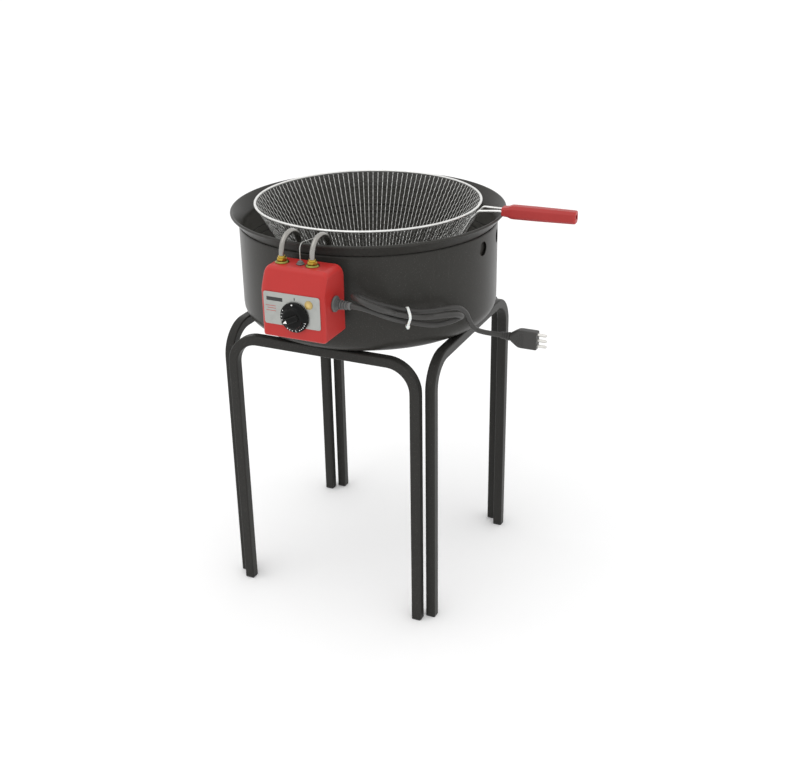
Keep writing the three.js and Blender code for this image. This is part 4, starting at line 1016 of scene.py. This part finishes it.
def grip_shell():
    """The handle: rounded, bevelled sections from neck to end, then a slot sunk in the end."""
    end = GRIP_START + GRIP_LENGTH

    def section(x, wide, tall):
        bevel = 0.42 * min(wide, tall)
        corners = [(wide, tall - bevel), (wide - bevel, tall), (bevel - wide, tall),
                   (-wide, tall - bevel), (-wide, bevel - tall), (bevel - wide, -tall),
                   (wide - bevel, -tall), (wide, bevel - tall)]
        line = filleted(corners, bevel * 0.22, 3, closed=True)
        line[:, 1] += RING_HEIGHT
        return level(line, x)[:, [2, 0, 1]]

    rows = [section(GRIP_START + x, GRIP_HALF * wide, GRIP_HALF * tall) for x, wide, tall in (
        (0, .90, .62), (0.4, .94, .66), (1.4, .96, .69), (5, .96, .70), (8, .97, .73),
        (10.5, .98, .8), (13, .99, .93), (15, 1.0, .99), (18, 1.02, 1.02), (24, 1.02, 1.02),
        (51.75, 1.02, 1.02), (80, 1.0, .99), (100, .99, .96), (108, .98, .95), (112, .975, .94),
        (113.8, .96, .92), (114.7, .93, .89), (GRIP_LENGTH, .9, .86))]
    heart = np.array((end, 0, RING_HEIGHT + 0.25))
    direction = unit(rows[-1][:, 1:] - heart[1:])
    for x, wide_slot, tall_slot in ((end, 6.1, 3.9), (end - 0.5, 5.5, 3.3), (end - 7, 5.2, 3.0)):
        stretch = 1 / np.max(np.abs(direction) / (wide_slot, tall_slot), axis=1, keepdims=True)
        rows.append(level(heart[1:] + direction * stretch, x)[:, [2, 0, 1]])
    return grid(rows, poles=(rows[0].mean(0), heart - (7, 0, 0)))


def make_basket(bright, shaded_wire, grip_plastic):
    """The basket's rim, foot hoop and weave, and its handle on two rods."""
    foot_height = BASKET_BASE + 3
    foot = hoop(wall_radius(foot_height) + 3, FOOT_WIRE, foot_height, 192, 12)
    on_basket("basket_rim", hoop(RING_RADIUS, RIM_WIRE, RING_HEIGHT, 256, 16), "bright_wire",
              bright, "basket_ring")
    on_basket("basket_foot_hoop", foot, "bright_wire", bright, "basket_hoop")
    on_basket("basket_warp", warp_shell(), "bright_wire", bright, "basket_mesh", crease=180)
    # The weave's hoops and base use a dark copy of the bright plated wire: painted shade, the same
    # wire made dark as if it lay in shade.
    on_basket("basket_weft", weft_shell(), "bright_wire", shaded_wire, crease=180)
    on_basket("basket_base_weave", base_shell(), "bright_wire", shaded_wire, crease=180)
    outside = RING_RADIUS + RING_WIRE + HANDLE_WIRE + 0.3
    rib_top, rib_base = RING_HEIGHT - 12, foot_height + 6
    away = HANDLE_WIRE + 0.6
    for side, sign in (("front", -1), ("back", 1)):
        at_ring, at_grip = 13 * sign, 7.5 * sign
        corners = [(GRIP_START + 22, at_grip, RING_HEIGHT + 1),
                   (GRIP_START - 6, at_grip, RING_HEIGHT + 1), (outside + 4, at_ring, RING_HEIGHT),
                   (wall_radius(rib_top) + away + 2, at_ring, rib_top),
                   (wall_radius(rib_base) + away, at_ring, rib_base)]
        line = spaced(filleted(corners, 6, 8), 8)
        on_basket(f"handle_rod_{side}", rod(line, HANDLE_WIRE, (0, 1, 0), 18), "bright_wire",
                  bright, f"basket_wire_{side}")
    on_basket("handle_grip", grip_shell(), "grip_plastic", grip_plastic, "basket_grip", crease=42)


# ---- cord -----------------------------------------------------------------------------
def cord_curve(material):
    """The cord as one open line of points, with a round section."""
    line = catmull_rom(CORD_ROUTE, 7) + np.array(AXIS)
    curve = bpy.data.curves.new("supply_cord", "CURVE")
    curve.dimensions = "3D"
    curve.bevel_depth = CORD_RADIUS * MM
    curve.bevel_resolution = 5
    curve.use_fill_caps = True
    spline = curve.splines.new("POLY")
    spline.points.add(len(line) - 1)
    spline.points.foreach_set("co", np.column_stack([line, np.ones(len(line))]).ravel())
    spline.use_smooth = True
    curve.materials.append(material)
    made = bpy.data.objects.new("supply_cord", curve)
    bpy.context.scene.collection.objects.link(made)
    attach(made, "control_unit")
    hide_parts("cord")
    return made, line


def tie_shell(path):
    """A strap round the strands: the outline is strand + reach * direction for the strand that lies
    furthest that way, so it is straight between strands; then its head and cut tail."""
    along = unit(TIE_ALONG)
    up = unit(np.array((0, 0, 1)) - along * along[2])
    out = np.cross(along, up)
    places = (path - np.array(AXIS)) / MM - TIE_MIDDLE
    ahead = places @ along
    close = np.linalg.norm(places[1:], axis=1) < 25
    crossing = np.nonzero((ahead[:-1] * ahead[1:] <= 0) & close)[0]
    share = (ahead[crossing] / (ahead[crossing] - ahead[crossing + 1]))[:, None]
    strands = places[crossing] * (1 - share) + places[crossing + 1] * share
    flat = np.stack([strands @ out, strands @ up], axis=1)
    direction = ring_section(1, 96)
    furthest = flat[np.argmax(direction @ flat.T, axis=1)]
    axes = np.stack([along, out, up], axis=1)
    band = grid([level(furthest + direction * reach, across)[:, [2, 0, 1]] for reach, across in (
        (4.75, -1.7), (4.95, -2.0), (5.6, -2.0), (5.8, -1.7),
        (5.8, 1.7), (5.6, 2.0), (4.95, 2.0), (4.75, 1.7))], looped=True)
    low = np.array((0, *flat[np.argmin(flat[:, 1])]))
    head = moved(soft_block(5.6, 6, 4.2, 0.8), shift=low - (0, 0, 7.2))
    tail = moved(soft_block(3.6, 1.1, 3, 0.3), shift=low + (0, 1.6, -9.8))
    return facing_out(moved(gathered([band, head, tail]), axes, TIE_MIDDLE))


def plug_shell(length, half_height, half_thickness):
    """The plug's body along +X: each section is |y / t|^n + |z / h|^n = 1, with t and h growing
    from the neck over rounded shoulders and drawn in at the end."""
    circle = ring_section(1, 72)
    rows = []
    for x, tall, thick, power in (
            (0, .46, .76, 2.4), (.4, .50, .82, 2.5), (2, .57, .88, 2.8), (5, .70, .94, 3.4),
            (9, .86, .98, 4.5), (11.5, .945, 1, 6), (14, .985, 1, 7), (17, 1, 1, 8),
            (length - 4, 1, 1, 8), (length - 1, .99, .985, 8), (length - .3, .97, .96, 8),
            (length, .94, .93, 8), (length, .6, .5, 6)):
        size = (thick * half_thickness, tall * half_height)
        rows.append(level(size * np.sign(circle) * np.abs(circle) ** (2 / power), x)[:, [2, 0, 1]])
    return grid(rows)


def make_cord(rubber, grey, tie_plastic, nickel):
    """The cord with its strain relief, tie, plug and pins."""
    low, high = span("plug")
    heart = middle("plug")
    neck_line = [(0, 0), (4.6, 0), (5, 0.4), (5, 1.6)]
    for k in range(4):
        start, wide, root = 2.2 + 3.7 * k, 5.3 + 0.45 * k, 4.7 + 0.3 * k
        neck_line += [(root, start), (wide, start + 0.5), (wide + 0.1, start + 2.4),
                      (root + 0.1, start + 3.0)]
    neck_line += [(6.4, 17.4), (7.2, 18), (7.2, 24), (0, 24)]
    neck = moved(turned(neck_line, 40), ALONG_X, (low[0], *heart[1:]))
    body = plug_shell(PLUG_LENGTH, (high[2] - low[2]) / 2, (high[1] - low[1]) / 2)
    body = moved(body, shift=(high[0] - PLUG_LENGTH, *heart[1:]))
    ribs = [moved(soft_block(1.1, 1.4, 14 + 2.4 * k, 0.4),
                  shift=(high[0] - 31 + 3.2 * k, heart[1] + side, heart[2]))
            for k in range(4) for side in (-7.8, 7.8)]
    plug = on_unit("plug_body", gathered([neck, body, *ribs]), "cord_rubber", rubber, "plug")
    pin = turned([(0, 0), (2.4, 0), (2.4, 17.6), (2.1, 18.9), (1.5, 19.9), (0.7, 20.4),
                  (0, 20.5)], 28)
    for name in ("live", "earth", "neutral"):
        node = f"plug_pin_{name}"
        place = (span(node)[0][0], heart[1], middle(node)[2])
        on_unit(f"pin_{name}", moved(pin, ALONG_X, place), "pin_nickel", nickel, node)
    cord, path = cord_curve(rubber)
    tie = on_unit("tie_strap", tie_shell(path), "tie_plastic", tie_plastic, "cord_tie")

    line = [(0, 0), (4.8, 0), (4.8, 5), (11.2, 5), (11.9, 5.5), (12, 6.2), (11.8, 7.4), (11, 8.1),
            (9.6, 8.4), (8.6, 8.2), (7.6, 8.6), (6.4, 9.6), (5.2, 10.4)]
    for k in range(4):
        start, wide = 11.2 + 4.0 * k, 7.6 - 0.4 * k
        line += [(4.5, start), (wide - 0.4, start + 0.3), (wide, start + 0.6), (wide, start + 1.2),
                 (wide - 0.4, start + 1.5), (4.5, start + 1.9)]
    line += [(4.8, 27.6), (5.6, 28.0), (5.6, 30.6), (5.1, 31.3), (0, 31.6)]
    place = (span("strain_relief")[0][0], *middle("strain_relief")[1:])
    on_unit("relief_boot", moved(turned(line, 48), ALONG_X, place), "grey_plastic", grey,
            "strain_relief")


# ---- making ---------------------------------------------------------------------------
set_camera()

CHARCOAL = (0.0355, 0.0345, 0.0315)
rubber = sheath("cord sheath", (0.038, 0.037, 0.035), 0.45)
grey = moulded("grey moulding", (0.095, 0.098, 0.096), 0.36)
make_cord(rubber, grey, moulded("nylon strap", (0.78, 0.78, 0.74), 0.42, Subsurface_Weight=0.1),
          drawn_metal("plug pins", (0.70, 0.69, 0.66), 0.3, (1, 6, 6)))

set_stage()
enamelled = enamel("kettle enamel", CHARCOAL, 0.3, 0.04)
coated = enamel("stand coating", (0.027, 0.0265, 0.0245), 0.36, 0.04)
steel = drawn_metal("satin steel", (0.45, 0.45, 0.43), 0.33, (1, 1, 8))
pan_enamelled = enamel("pan enamel", CHARCOAL, 0.32, 0.04, painted_light_below=612)
make_kettle(enamelled, pan_enamelled, coated, moulded("tube plug", (0.02, 0.02, 0.02), 0.5), steel)

make_box(
    moulded("red moulding", (0.43, 0.024, 0.021), 0.34, 0.5, 0.02, 1.4, Specular_IOR_Level=0.3),
    drawn_metal("label sheet", (0.42, 0.43, 0.41), 0.42, (0.06, 6, 6)),
    steel,
    grey,
    moulded("knob moulding", (0.004, 0.0042, 0.004), 0.16, 0.5, 0.012, 3.0,
            Specular_IOR_Level=0.12),
    moulded("white moulding", (0.85, 0.85, 0.83), 0.4),
    lens("amber lens", (0.44, 0.31, 0.09)),
    ink("dark ink", (0.02, 0.02, 0.02)),
    ink("red ink", (0.42, 0.06, 0.06)),
)
make_heater(
    drawn_metal("heater sheath", (0.34, 0.33, 0.31), 0.24, (1, 1, 10), (0.26, 0.25, 0.23)),
    # Black for the sleeves on the element's drops: painted shade.
    moulded("black sleeve painted shade", (0.010, 0.010, 0.010), 0.55),
    drawn_metal("machined brass", (0.50, 0.33, 0.05), 0.22, (1, 1, 8), (0.26, 0.24, 0.05)),
    drawn_metal("greened brass", (0.26, 0.24, 0.06), 0.24, (1, 1, 8), (0.16, 0.26, 0.08)),
    steel,
    grey,
)
make_basket(
    bright_wire("bright wire", (0.80, 0.80, 0.78), 0.3),
    # A dark copy of the bright plated wire: painted shade for the weave's hoops and base.
    bright_wire("wire painted in shade", (0.12, 0.12, 0.115), 0.45),
    moulded("grip moulding", (0.36, 0.028, 0.026), 0.4, 0.5, 0.03, 1.4, Specular_IOR_Level=0.3),
)
